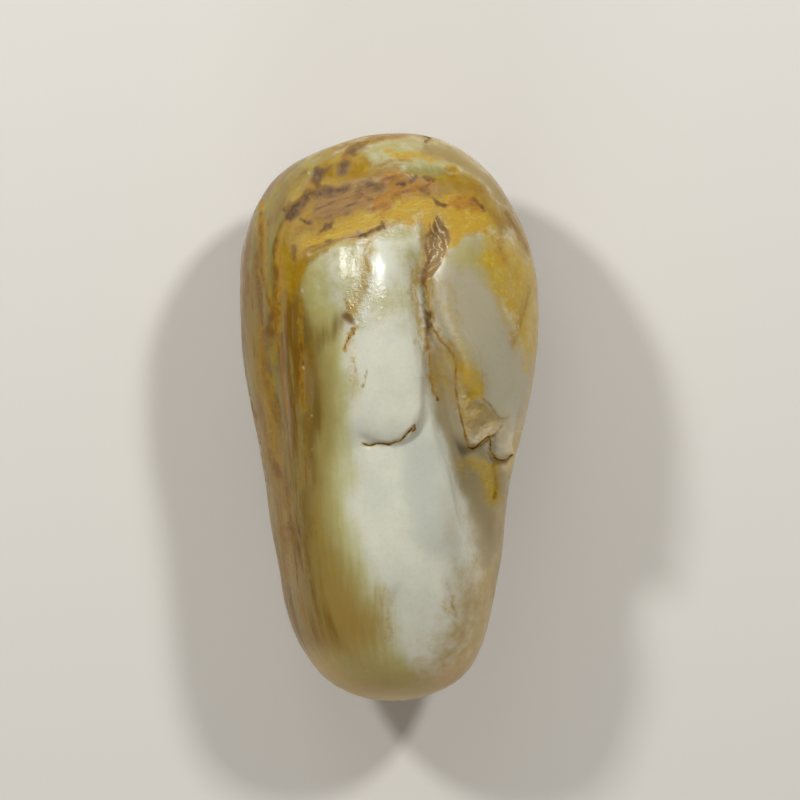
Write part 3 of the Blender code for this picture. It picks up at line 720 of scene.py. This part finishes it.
RUST = (
    (0.5, 0.9, (-22.4, 35.6), (-22.5, 31.2), (-22.2, 25.5), (-21.5, 21.3), (-20.4, 17.4),
     (-20.8, 12.7)),
    (0.7, 0.7, (-20.4, 17.4), (-21.1, 12.7), (-21.5, 7.4), (-20.6, 3), (-19.7, -1.4), (-19, -6.7),
     (-18.5, -11.1)),
    (0.35, 0.7, (-22.5, 13.9), (-23.1, 9.2), (-22.5, 3.9), (-21.5, 1.2)),
    (0.4, 0.8, (-15.3, 21.3), (-15.3, 15.3), (-15, 10), (-15, 5.1), (-15.1, 2.1)),
    (0.5, 0.6, (-16.2, 27.3), (-15.7, 23.8), (-15.3, 20.6)),
    (0.7, 0.5, (-13.7, 12.7), (-13.6, 6.5), (-14.1, -0.5), (-14.4, -5.8), (-14.6, -11.1)),
    (0.5, 0.8, (-26, 6.5), (-25, 3.3), (-23.9, 0.9), (-23.2, -3.3), (-22.2, -7.9)),
    (1.1, 0.65, (-20.2, -7.9), (-19.4, -9.3), (-18.3, -14.6), (-17.6, -21.6), (-17.6, -27.8)),
    (1.0, 1.0, (-21.3, -6.2), (-20.4, -7.9), (-19, -10)),
    (0.5, 0.5, (24.5, 22.9), (23.8, 20.6), (22.9, 18), (21.8, 14.3), (21.5, 12.8)),
    (0.35, 0.8, (20.1, 35.7), (21.8, 33.6), (23.2, 31.2), (24.3, 28.7)),
    (0.5, 0.4, (9.9, -28.2), (10.4, -29.7), (10.9, -31.9), (11.4, -34.3)),
    (0.5, 0.6, (18.1, -8.6), (18.5, -11.1), (18.3, -13.9)),
    (0.45, 0.85, (6.3, 22.7), (6.5, 19.7), (6.5, 15.3), (6.5, 11.8)),
    (0.3, 0.7, (6.5, 11.8), (7, 7.4), (7.6, 4.4), (8.4, 3.3)),
    (0.24, 0.85, (7.6, 15), (9, 12.8), (10.7, 11.1), (11.4, 9), (11.3, 6.2), (11.8, 2.6),
     (12.3, -0.5), (13, -3), (13.7, -5.1)),
    (0.4, 0.6, (-19.4, 31.9), (-18.8, 29.7), (-18.1, 31.2)),
    (0.4, 0.8, (-15, 28.3), (-12.7, 29.6), (-9.9, 30.3), (-7, 31), (-4.9, 31.5)),
    (0.3, 0.7, (-1.8, 43.5), (0, 44.4), (2.1, 44.7), (3.9, 44.5)),
    (0.4, 0.75, (-6.3, 14.3), (-7.4, 12.5), (-7.6, 11.4)),
    (0.25, 0.7, (-4, 7.9), (-4.2, 6.2), (-4.6, 5.3)),
    (0.35, 0.6, (-7.6, 20.2), (-7, 19.2)),
    (0.3, 0.6, (-6.9, 18.5), (-6, 19.2)),
    (0.35, 0.6, (-4, 27.3), (-3.7, 25.2)),
    (0.35, 0.6, (-4.8, 29.7), (-4.2, 28.3)),
    (0.3, 0.5, (-4.4, 23.1), (-4.6, 21.3)),
    (0.5, 0.8, (8.1, 32.6), (7, 31.2), (7, 28.3), (6.5, 26.2), (6.2, 23.4)),
    (0.3, 0.6, (15.8, 3.3), (17.6, 1.6), (19.4, -0.2), (20.8, 0.2)),
    (0.35, 0.8, (19.4, -1.6), (17.6, -3.3), (15.5, -4.8), (13.7, -5.5)),
    (0.3, 0.5, (7, 41.4), (9.9, 40.7), (12.7, 40)),
)
# Painted shade: dark strokes along the left fold, the lower body's upper edge, the tongue's right
# edge and the shelf's lower lip.
FOLD_SHADES = (
    (1.4, 0.9, (-15.3, 20.6), (-13.7, 12.7), (-13.6, 3), (-14.3, -5.8), (-14.6, -14.6),
     (-14.4, -25.2)),
    (1.6, 0.55, (-7.9, 17.1), (-9.9, 15.7), (-11.4, 13.6), (-13, 9.7)),
    (0.9, 0.35, (5.6, 15.3), (6.2, 11.8), (6.3, 7.9), (6, 3), (5.3, 0.5), (3.9, -1.8)),
    (0.6, 0.7, (-14.4, 27.3), (-12, 28.7), (-9.9, 29.7)),
)
# Painted highlights: small glints on pits and on the lips of the dents.
GLINTS = (
    (0.3, 0.5, (19, 30.8), (18.7, 29.7), (18.8, 28.3)),
    (0.25, 0.45, (21.6, 26.6), (21.3, 25)),
    (0.25, 0.9, (-15.1, 22), (-15.1, 21.6)),
    (0.25, 0.9, (-15, 8.8), (-14.8, 8.4)),
    (0.25, 0.8, (-13.4, 0.4), (-13.4, 0.2)),
    (0.22, 0.8, (-13.4, -5.5), (-13.4, -5.6)),
    (0.25, 1.0, (-14.1, 42.6), (-14.1, 42.4)),
    (0.2, 0.7, (-0.2, -19.4), (0.4, -19.4)),
    (0.2, 0.7, (1.1, -30.6), (1.4, -30.4)),
    (0.2, 0.6, (9.9, -36.4), (10.2, -36.1)),
)
TAWNY = (
    (1.8, 0.4, (8.8, 23.1), (9.7, 18.8), (10.9, 14.4), (13, 9.7), (15.5, 5.1)),
    (0.9, 0.8, (4.9, 25.9), (4.2, 23.4), (4.2, 20.9), (4.9, 18), (5.5, 15), (5.8, 11.8)),
    (1.1, 1.0, (6.5, 23.4), (6.7, 20.6), (6.9, 17.8), (6.7, 15.3)),
    (0.6, 0.6, (6.9, 15.3), (6.7, 11.8), (7, 7.9), (7.7, 4.4)),
    (0.7, 0.5, (-6.7, 15.3), (-6.2, 12.7), (-6, 9.2), (-6.3, 4.8)),
    (1.1, 0.7, (-3.5, 31.9), (-3.7, 29), (-4, 26.2), (-4.6, 23.4), (-5.1, 20.9), (-6.5, 17.8)),
    (1.1, 0.8, (7.7, 15), (10, 12.1), (11.8, 9.7), (12.5, 6.5), (13.4, 3.7)),
    (0.7, 0.6, (11.8, 2.6), (12.7, -0.5), (13.4, -3.3), (15.5, -4.8)),
    (1.0, 0.7, (24.6, 23.4), (23.9, 20.6), (22.7, 17.1), (21.5, 12.5)),
    (0.8, 0.6, (-15.8, 27.3), (-13.7, 28), (-11.3, 29), (-7.9, 30.1), (-4.9, 30.8)),
    (0.8, 0.8, (-22.4, 37.1), (-22.5, 31.2), (-22, 25.9), (-21.1, 20.6)),
    (0.7, 0.7, (-19, 32.6), (-19.2, 27.3), (-19, 20.6), (-19.4, 15.3), (-20.1, 10)),
    (0.6, 0.6, (-22.2, 15.3), (-22.9, 11.8), (-23.1, 7.4), (-22.4, 3.3)),
    (1.2, 0.8, (-20.8, 6.5), (-20.8, 1.2), (-20.4, -4), (-19.4, -7.9)),
    (0.5, 0.7, (-15.1, 20.6), (-15.1, 13.6), (-15, 6.5), (-15.1, 1.2)),
    (0.7, 0.6, (-15.8, 41), (-13, 43.5), (-9.9, 45.2), (-6.7, 47)),
    (0.7, 0.6, (-21.5, 36.4), (-20.1, 39.2), (-17.6, 42.1), (-13.7, 44.9)),
    (0.9, 0.6, (18.5, -7.9), (18.7, -11.1), (18.5, -14.3)),
    (0.7, 0.4, (9.5, -32.2), (10.6, -34.3), (11.6, -37.8)),
    (1.2, 0.3, (-12.7, -18.1), (-10.6, -23.1), (-8.8, -28.7)),
    (0.8, 0.35, (-0.7, -29.4), (-0.4, -33.3), (0, -37.8)),
    (0.7, 0.3, (-3.2, -30.4), (-2.8, -34.3), (-2.8, -39.2)),
)
BROAD_WASHES = {
    "green": GREEN, "tan": TAN, "grey": GREY, "valley_shade": VALLEY_SHADES, "khaki": KHAKI, "yellow": YELLOW,
    "cool_shade": COOL_SHADES, "pale": PALE, "earth": EARTH, "rough": ROUGH,
}
FINE_WASHES = {"umber": UMBER, "ochre": OCHRE, "amber": AMBER}
# Thin dark lines, whose distance is kept, so that they stay thin at any scale.
LINES = (
    CRACKS[0][0], CRACKS[2][0],
    ((-5.6, 15.5), (-6.5, 14.3), (-7.2, 13.0), (-7.7, 11.4)),
)
LINE_REACH = 2.0


def reached(places, points, reach):
    """Which places are within reach of the box round some points."""
    points = np.array(points, float)
    return np.all((places > points.min(0) - reach) & (places < points.max(0) + reach), axis=1)


def wash(places, marks):
    """The strongest of the washes at each place, from 0 to 1."""
    strongest = np.zeros(len(places))
    for softness, strength, *outline in marks:
        near = reached(places, outline, softness)
        depth = depth_inside(places[near], outline)
        strongest[near] = np.maximum(
            strongest[near], strength * smooth_step(-softness, softness, depth)
        )
    return strongest


def stroke(places, marks):
    """The strongest of the strokes at each place: full on its line, 0 at twice its half-width."""
    strongest = np.zeros(len(places))
    for half_width, strength, *line in marks:
        near = reached(places, line, 2 * half_width)
        smooth = smooth_line(line, 24) if len(line) > 2 else np.array(line)
        distance = beside(places[near], smooth)[0]
        strongest[near] = np.maximum(
            strongest[near], strength * smooth_step(-2 * half_width, 0, -np.abs(distance))
        )
    return strongest


def paint(places, outward, grain):
    """The masks of the stone's skin, and of its painted shade, bounce light and highlights, at each
    vertex.
    """
    flat = places[:, :2]
    stretched = grain / (1, 6, 1)
    shake = np.column_stack([noise(stretched, 1.6, 55), 0 * flat[:, 0]])
    broad = flat + 0.9 * np.column_stack([noise(places, 5.0, 51), noise(places, 5.0, 52)])
    fine = flat + 0.4 * np.column_stack([noise(places, 1.8, 53), noise(places, 1.8, 54)])
    fine += 0.2 * np.column_stack([noise(places, 0.8, 56), noise(places, 0.8, 57)])
    broad += 0.35 * (fine - flat)
    face = smooth_step(-0.35, 0.1, outward[:, 2])

    lower = smooth_step(-10, -42, flat[:, 1])
    worn = -beside(broad + 0.3 * shake, smooth_line(WORN_EDGE))[0]
    flank = -beside(broad + 0.9 * shake, smooth_line(FLANK_EDGE))[0]
    above = smooth_step(22, 32, flat[:, 1])  # the broad end has its own washes
    back = 1 - face
    ends = smooth_step(49, 38, np.abs(flat[:, 1] - 3))  # streaks fade before they meet at the tips
    swirl = places + 3 * np.column_stack([noise(places, 6.0, seed) for seed in (63, 64, 65)])
    patches = smooth_step(-0.1, 0.6, noise(swirl, (9.0, 14.0, 9.0), 61))
    reach = np.full(len(places), LINE_REACH)
    lightly = flat + 0.3 * (fine - flat)
    for line in LINES:
        near = reached(lightly, line, LINE_REACH)
        distance = np.abs(beside(lightly[near], smooth_line(line, 40))[0])
        reach[near] = np.minimum(reach[near], distance)
    return {
        # side: a warm tint where the surface turns away from looking up, partly brownish river
        # skin, partly painted shade and warm bounce light
        "side": smooth_step(0.97, 0.25, outward[:, 2] - 0.12 * lower),
        "low": smooth_step(-22, -42, flat[:, 1]),
        # end: painted warm bounce light on the narrow end, where the surface turns away from
        # looking up
        "end": smooth_step(-34, -49, flat[:, 1]) * smooth_step(1.0, 0.5, outward[:, 2])
        * smooth_step(-0.9, 0.1, outward[:, 2]),
        "halo": smooth_step(-6.0, 2.0, worn) * face,
        "olive": np.maximum(
            smooth_step(-2.5 - 3 * lower, 4.5 + 2 * lower, worn) * (1 - 0.35 * above) * face,
            back * (0.35 + 0.65 * patches)) * (0.4 + 0.6 * ends),
        "flank": ends * np.maximum(
            smooth_step(-2.0 - 3 * lower, 3.0 + 2 * lower, flank) * face,
            back * smooth_step(-0.2, 0.8, noise(swirl, 12.0, 62))),
        # painted shade along folds and edges
        "fold_shade": stroke(broad, FOLD_SHADES) * face,
        "glint": stroke(flat, GLINTS) * face,
        "rust": stroke(lightly, RUST) * face,
        "dark": np.maximum(stroke(fine, DARK), wash(fine, DARK_PATCHES)) * face,
        "dull": np.maximum(wash(flat, DULL), stroke(flat, ((2.4, 1.0, *FLAP_EDGE),))) * face,
        "tawny": stroke(fine, TAWNY) * face,
        **{name: wash(broad, marks) * face for name, marks in BROAD_WASHES.items()},
        **{name: wash(fine, marks) * face for name, marks in FINE_WASHES.items()},
        "chip": smooth_step(-0.3, 0.3, depth_inside(flat, CHIP)) * face,
        # gap: 0 on the chip's ridge crests, which get painted highlights, and 1 between them
        "gap": smooth_step(1.0, 0.2, chip_ridges(places)) * face,
        "line_distance": reach,
    }


class Paint:
    """Builds a material's nodes, a call for each."""

    def __init__(self, name):
        self.material = bpy.data.materials.new(name)
        self.material.use_nodes = True
        self.nodes = self.material.node_tree.nodes
        self.links = self.material.node_tree.links
        self.shader = self.nodes["Principled BSDF"]
        self.spaces = {
            "object": self.nodes.new("ShaderNodeTexCoord").outputs["Object"],
            "grain": self.mask("grain", "Vector"),
        }

    def feed(self, socket, value):
        if isinstance(value, bpy.types.NodeSocket):
            self.links.new(value, socket)
        else:
            socket.default_value = value

    def mask(self, name, output="Fac"):
        node = self.nodes.new("ShaderNodeAttribute")
        node.attribute_name = name
        return node.outputs[output]

    def noise(self, size, detail=2.0, rough=0.5, stretch=(1, 1, 1), degrees=0, space="object"):
        """Noise from 0 to 1 with features about size millimetres across."""
        place = self.nodes.new("ShaderNodeMapping")
        place.vector_type = "TEXTURE"
        self.feed(place.inputs["Vector"], self.spaces[space])
        place.inputs["Rotation"].default_value = (0, 0, math.radians(degrees))
        place.inputs["Scale"].default_value = stretch
        node = self.nodes.new("ShaderNodeTexNoise")
        self.feed(node.inputs["Vector"], place.outputs["Vector"])
        node.inputs["Scale"].default_value = 1 / (size * MILLIMETRE)
        node.inputs["Detail"].default_value = detail
        node.inputs["Roughness"].default_value = rough
        spread = self.nodes.new("ShaderNodeMapRange")
        for socket, value in zip(spread.inputs[:3], (node.outputs["Fac"], 0.3, 0.7)):
            self.feed(socket, value)
        return spread.outputs[0]

    def math(self, operation, first, second=0.0):
        node = self.nodes.new("ShaderNodeMath")
        node.operation = operation
        self.feed(node.inputs[0], first)
        self.feed(node.inputs[1], second)
        return node.outputs[0]

    def ramp(self, value, low, high, start=0.0, end=1.0):
        """A soft rise from start to end as value goes from low to high."""
        node = self.nodes.new("ShaderNodeMapRange")
        node.interpolation_type = "SMOOTHSTEP"
        for socket, number in zip(node.inputs[:5], (value, low, high, start, end)):
            self.feed(socket, number)
        return node.outputs[0]

    def broken(self, mask, grain, amount, low, high, most=1.0):
        """A mask whose edge and body are broken up by a grain, and which stays 0 where it is 0."""
        shake = self.math("MULTIPLY", self.math("SUBTRACT", grain, 0.5), amount)
        share = self.ramp(self.math("ADD", mask, shake), low, high, 0.0, most)
        return self.math("MULTIPLY", share, self.ramp(mask, 0.0, 0.2))

    def mix(self, below, above, share):
        node = self.nodes.new("ShaderNodeMix")
        node.data_type = "RGBA"
        self.feed(node.inputs[0], share)
        self.feed(node.inputs[6], below)
        self.feed(node.inputs[7], above)
        return node.outputs[2]

    def bump(self, height, depth, below=None):
        """Relief of that depth in millimetres where height goes from 0 to 1."""
        node = self.nodes.new("ShaderNodeBump")
        node.inputs["Strength"].default_value = 1.0
        node.inputs["Distance"].default_value = depth * MILLIMETRE
        self.feed(node.inputs["Height"], height)
        if below is not None:
            self.feed(node.inputs["Normal"], below)
        return node.outputs[0]


SCREEN_GAMMA = 2.2


def tone(red, green, blue):
    """A colour from its screen values, 0 to 255."""
    return tuple((value / 255) ** SCREEN_GAMMA for value in (red, green, blue)) + (1,)


JADE_WHITE = tone(206, 207, 192)
JADE_CLOUD = tone(196, 198, 184)
COOL_SHADE_JADE = tone(186, 188, 178)
# the sides' tint: partly river skin, partly painted shade and warm bounce light
SIDE_SHADE_TINT = tone(186, 157, 96)
# painted warm bounce light for the narrow end
END_BOUNCE_TINT = tone(178, 144, 88)
JADE_GREEN = tone(174, 170, 112)
CAP_GREEN = tone(160, 152, 92)
CAP_TAN = tone(154, 132, 80)
JADE_GREY = tone(168, 160, 136)
VALLEY_SHADE_GREY = tone(150, 138, 106)
FOLD_SHADE_BROWN = tone(108, 86, 32)
OLIVE_SKIN = tone(144, 127, 72)
LOW_OLIVE = tone(160, 134, 76)
EARTH_SKIN = tone(146, 118, 56)
BROWN_SKIN = tone(120, 88, 28)
GREY_SKIN = tone(142, 120, 74)
PALE_SKIN = tone(140, 130, 72)
ORANGE_SKIN = tone(146, 106, 22)
DEEP_SKIN = tone(92, 60, 14)
KHAKI_SKIN = tone(146, 110, 8)
PALE_KHAKI = tone(162, 140, 50)
UMBER_SKIN = tone(142, 108, 52)
UMBER_STREAK = tone(94, 60, 20)
YELLOW_SKIN = tone(176, 144, 28)
TAWNY_SKIN = tone(148, 116, 34)
PALE_YELLOW = tone(188, 168, 80)
JADE_SHADE = tone(120, 112, 80)
GLINT = tone(232, 226, 190)
OCHRE_SKIN = tone(176, 142, 20)
PALE_OCHRE = tone(178, 164, 76)
AMBER_SKIN = tone(158, 112, 0)
DEEP_AMBER = tone(126, 78, 0)
RUST_SKIN = tone(108, 70, 0)
DARK_HALO = tone(112, 76, 0)
DARK_SKIN = tone(54, 32, 0)
CHIP_CREST_GLINT = tone(204, 186, 150)
CHIP_BROWN = tone(136, 108, 58)
CRACK_BROWN = tone(80, 50, 14)
CRACK_HALO = tone(184, 150, 66)

JADE_OPTICS = {
    "IOR": 1.61,  # nephrite's
    "Specular IOR Level": 0.28,  # a worn skin mirrors less than a polished face
    "Subsurface Weight": 1.0,
    "Subsurface Radius": (1.0, 0.95, 0.7),
    "Subsurface Scale": 1.1 * MILLIMETRE,
}


def jade():
    """Nephrite under a river skin: colours by mask and grain, a fine peel, deep soft light."""
    p = Paint("jade")
    cloud = p.noise(7.0, 3.0)
    blotch = p.noise(2.6, 5.0, 0.6)
    grain = p.noise(1.0, 5.0, 0.65)
    fine_grain = p.noise(0.4, 4.0, 0.65)
    streak = p.noise(1.1, 5.0, 0.6, stretch=(1, 8, 1), space="grain")
    wide_streak = p.noise(2.8, 3.0, 0.5, stretch=(1, 9, 1), space="grain")
    band = p.noise(1.6, 3.0, 0.55, stretch=(1, 16, 1), space="grain")
    fibres = p.noise(0.8, 5.0, 0.65, stretch=(6, 1, 1), degrees=20)

    def vein(noise, width):
        """Thin wandering lines where the noise passes its middle."""
        return p.ramp(p.math("ABSOLUTE", p.math("SUBTRACT", noise, 0.5)), width, 0.0)

    def lay(below, above, name, noise, amount, low, high, most=1.0):
        """A colour laid over what is below where the named mask, broken by the noise, allows."""
        return p.mix(below, above, p.broken(p.mask(name), noise, amount, low, high, most))

    colour = p.mix(JADE_WHITE, JADE_CLOUD, p.ramp(cloud, 0.1, 1.0))
    olive = p.mix(OLIVE_SKIN, LOW_OLIVE, p.mask("low"))
    for above, *share in (
        # cooler, greyer jade, partly painted shade beside the cleft
        (COOL_SHADE_JADE, "cool_shade", cloud, 0.3, 0.0, 1.0, 0.8),
        # painted shade and warm bounce light on the sides, over a brownish river skin
        (SIDE_SHADE_TINT, "side", blotch, 0.5, 0.0, 1.1, 0.85),
        (JADE_GREEN, "halo", streak, 0.22, 0.05, 1.0, 0.9),
        (JADE_GREY, "grey", blotch, 0.2, 0.05, 0.9, 0.95),
        (CAP_GREEN, "green", blotch, 0.5, 0.0, 1.0, 0.9),
        (CAP_TAN, "tan", blotch, 0.2, 0.05, 0.9),
        # grey-green cleft floor, partly painted shade in the recess
        (VALLEY_SHADE_GREY, "valley_shade", blotch, 0.2, 0.05, 0.9, 0.95),
        (olive, "olive", streak, 0.16, 0.0, 1.0),
        (EARTH_SKIN, "earth", streak, 0.2, 0.0, 1.0, 0.8),
        # painted warm bounce light on the narrow end
        (END_BOUNCE_TINT, "end", blotch, 0.4, 0.0, 1.0, 0.6),
        # painted shade along folds and edges
        (FOLD_SHADE_BROWN, "fold_shade", streak, 0.35, 0.05, 1.0, 0.9),
    ):
        colour = lay(colour, above, *share)

    skin = p.mix(GREY_SKIN, BROWN_SKIN, p.ramp(wide_streak, 0.35, 0.75))
    skin = p.mix(skin, ORANGE_SKIN, p.ramp(band, 0.62, 0.9, 0.0, 0.9))
    skin = p.mix(skin, PALE_SKIN, p.ramp(band, 0.36, 0.12, 0.0, 0.7))
    skin = p.mix(skin, DEEP_SKIN, p.ramp(streak, 0.35, 0.05, 0.0, 0.7))
    skin = p.mix(skin, DEEP_SKIN, p.math("MULTIPLY", vein(streak, 0.05), 0.4))
    colour = p.mix(colour, skin, p.broken(p.mask("flank"), streak, 0.3, 0.1, 0.95))
    colour = lay(colour, PALE_SKIN, "pale", streak, 0.5, 0.05, 0.9, 0.9)

    yellow = p.mix(YELLOW_SKIN, PALE_YELLOW, p.ramp(grain, 0.4, 1.0))
    speckle = p.math("MULTIPLY", p.math("ADD", blotch, grain), 0.5)
    colour = lay(colour, yellow, "yellow", speckle, 0.9, 0.0, 1.1, 0.95)
    khaki = p.mix(KHAKI_SKIN, PALE_KHAKI, p.ramp(blotch, 0.15, 1.1))
    colour = lay(colour, khaki, "khaki", grain, 0.3, 0.1, 0.85)
    umber = p.mix(UMBER_SKIN, UMBER_STREAK, p.ramp(fibres, 0.6, 0.1, 0.0, 0.9))
    umber = p.mix(umber, PALE_KHAKI, p.ramp(fibres, 0.75, 1.0, 0.0, 0.6))
    colour = lay(colour, umber, "umber", fibres, 0.5, 0.2, 0.85)
    ochre = p.mix(OCHRE_SKIN, PALE_OCHRE, p.ramp(fibres, 0.5, 1.0))
    ochre = p.mix(ochre, AMBER_SKIN, p.ramp(blotch, 0.35, 0.0, 0.0, 0.8))
    colour = lay(colour, ochre, "ochre", grain, 0.6, 0.15, 0.9, 0.95)
    amber = p.mix(AMBER_SKIN, DEEP_AMBER, p.ramp(fibres, 0.5, 0.1, 0.0, 0.9))
    colour = lay(colour, amber, "amber", grain, 0.6, 0.25, 0.95, 0.95)
    stained = p.math("MAXIMUM", p.mask("ochre"), p.mask("amber"))
    stained = p.math("MAXIMUM", p.mask("umber"), stained)
    dull = p.math("MAXIMUM", p.math("MAXIMUM", stained, p.mask("dark")), p.mask("dull"))
    veins = p.math("MULTIPLY", vein(fibres, 0.07), p.ramp(blotch, 0.3, 0.7))
    veins = p.math("MULTIPLY", veins, p.ramp(stained, 0.3, 0.9, 0.0, 0.4))
    colour = p.mix(colour, UMBER_STREAK, veins)

    tawny = p.mix(TAWNY_SKIN, YELLOW_SKIN, blotch)
    colour = lay(colour, tawny, "tawny", grain, 0.9, 0.1, 1.2, 0.85)
    colour = lay(colour, TAWNY_SKIN, "rust", grain, 0.6, 0.1, 0.9, 0.7)
    colour = lay(colour, RUST_SKIN, "rust", blotch, 0.9, 0.5, 1.2, 0.85)
    specks = p.math("MULTIPLY", p.ramp(fine_grain, 0.92, 1.0), p.ramp(blotch, 0.6, 0.9, 0.0, 0.3))
    colour = p.mix(colour, TAWNY_SKIN, specks)
    # painted highlights: pale glints on the chip's ridge crests, over its brown
    chip = p.mix(CHIP_CREST_GLINT, CHIP_BROWN, p.ramp(p.math("ADD", p.mask("gap"), fine_grain), 0.3, 1.1))
    colour = lay(colour, chip, "chip", grain, 0.4, 0.2, 0.8, 0.95)
    colour = lay(colour, DARK_HALO, "dark", blotch, 0.7, 0.0, 0.8, 0.85)
    colour = lay(colour, DARK_SKIN, "dark", grain, 1.0, 0.4, 1.4, 0.85)
    # painted highlights of the glints
    colour = p.mix(colour, GLINT, p.ramp(p.mask("glint"), 0.3, 0.9, 0.0, 0.35))
    shake = p.math("MULTIPLY", p.math("SUBTRACT", grain, 0.5), 0.15)
    away = p.math("ADD", p.mask("line_distance"), shake)
    colour = p.mix(colour, CRACK_HALO, p.ramp(away, 0.6, 0.15, 0.0, 0.6))
    colour = p.mix(colour, CRACK_BROWN, p.ramp(away, 0.2, 0.05, 0.0, 0.95))

    mottle = p.math("ADD", p.math("MULTIPLY", fine_grain, 0.5), p.math("MULTIPLY", grain, 0.5))
    colour = p.mix(colour, JADE_SHADE, p.ramp(mottle, 0.55, 0.2, 0.0, 0.07))
    p.feed(p.shader.inputs["Base Color"], colour)
    rough = p.math("MAXIMUM", p.mask("chip"), p.broken(p.mask("rough"), blotch, 0.4, 0.2, 0.9))
    p.feed(p.shader.inputs["Roughness"], p.math(
        "ADD", p.ramp(cloud, 0.0, 1.0, 0.25, 0.27), p.math("MULTIPLY", dull, 0.5)))
    peel = p.bump(p.noise(1.0, 1.0, 0.5), 0.009)
    pits = p.bump(p.math("MULTIPLY", p.noise(0.55, 3.0, 0.6), rough), 0.09, peel)
    skin = p.bump(p.math("MULTIPLY", fibres, stained), 0.05, pits)
    p.feed(p.shader.inputs["Normal"], skin)
    for name, value in JADE_OPTICS.items():
        p.shader.inputs[name].default_value = value
    return p.material


mesh, places, outward, grain = shape_stone()
for name, values in paint(places, outward, grain).items():
    mesh.attributes.new(name, "FLOAT", "POINT").data.foreach_set("value", values.astype(np.float32))
mesh.attributes.new("grain", "FLOAT_VECTOR", "POINT").data.foreach_set(
    "vector", (grain * MILLIMETRE).astype(np.float32).ravel())
mesh.shade_smooth()
mesh.materials.append(jade())
pebble = bpy.data.objects.new("jade_pebble_skin", mesh)
bpy.context.scene.collection.objects.link(pebble)
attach(pebble, "root")
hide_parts("jade_pebble")
print("triangles", sum(len(polygon.vertices) - 2 for polygon in mesh.polygons))

# ---- Floor, light and camera ----

FLOOR_REACH = 2.0
FLOOR_COLOUR = (0.62, 0.60, 0.56, 1)
FLOOR_ROUGHNESS = 0.9
floor_mesh = bpy.data.meshes.new("floor")
floor_mesh.from_pydata(
    [(x * FLOOR_REACH, y * FLOOR_REACH, 0) for x, y in ((-1, -1), (1, -1), (1, 1), (-1, 1))],
    [], [(0, 1, 2, 3)],
)
floor = bpy.data.objects.new("floor", floor_mesh)
bpy.context.scene.collection.objects.link(floor)
pale = bpy.data.materials.new("pale_floor")
pale.use_nodes = True
pale_shader = pale.node_tree.nodes["Principled BSDF"]
pale_shader.inputs["Base Color"].default_value = FLOOR_COLOUR
pale_shader.inputs["Roughness"].default_value = FLOOR_ROUGHNESS
floor_mesh.materials.append(pale)

LAMP_DISTANCE = 0.62
# Heading round from +X and height above the floor in degrees, sides in metres, watts, whether it
# lights the scene, whether the skin mirrors it.
LAMPS = (
    (47, 47, (0.07, 0.07), 2.15, True, False),
    (140, 42, (0.07, 0.07), 2.15, True, False),
    (106, 50, (0.18, 0.40), 10.0, False, True),
    (262, 24, (0.30, 0.20), 0.7, True, False),
)
STONE_MIDDLE = Vector((0, 0, EDGE_HEIGHT * MILLIMETRE))
for number, (heading, height, size, power, lights, shines) in enumerate(LAMPS):
    lamp = bpy.data.lights.new(f"softbox_{number}", "AREA")
    lamp.shape = "RECTANGLE"
    lamp.size, lamp.size_y = size
    lamp.energy = power
    holder = bpy.data.objects.new(lamp.name, lamp)
    heading, height = math.radians(heading), math.radians(height)
    away = Vector((math.cos(height) * math.cos(heading), math.cos(height) * math.sin(heading),
                   math.sin(height)))
    holder.location = STONE_MIDDLE + LAMP_DISTANCE * away
    holder.rotation_euler = (-away).to_track_quat("-Z", "Y").to_euler()
    holder.visible_diffuse = lights
    holder.visible_glossy = shines
    holder.visible_camera = False
    bpy.context.scene.collection.objects.link(holder)

bpy.context.scene.view_settings.view_transform = "Standard"
SURROUNDING_COLOUR = (0.56, 0.50, 0.43, 1)
SURROUNDING_STRENGTH = 0.42
world = bpy.data.worlds.new("studio")
world.use_nodes = True
background = world.node_tree.nodes["Background"]
background.inputs["Color"].default_value = SURROUNDING_COLOUR
background.inputs["Strength"].default_value = SURROUNDING_STRENGTH
world.cycles_visibility.glossy = False  # the skin mirrors its own softbox only
bpy.context.scene.world = world

LENS, SENSOR = 200.0, 36.0
FIELD = 0.1408  # metres across the picture, at the height of the stone's widest line
FIELD_MIDDLE = (0.00176, 0.003)
camera_data = bpy.data.cameras.new("camera")
camera_data.lens = LENS
camera_data.sensor_width = SENSOR
camera = bpy.data.objects.new("camera", camera_data)
camera.location = (*FIELD_MIDDLE, EDGE_HEIGHT * MILLIMETRE + FIELD * LENS / SENSOR)
bpy.context.scene.collection.objects.link(camera)
bpy.context.scene.camera = camera
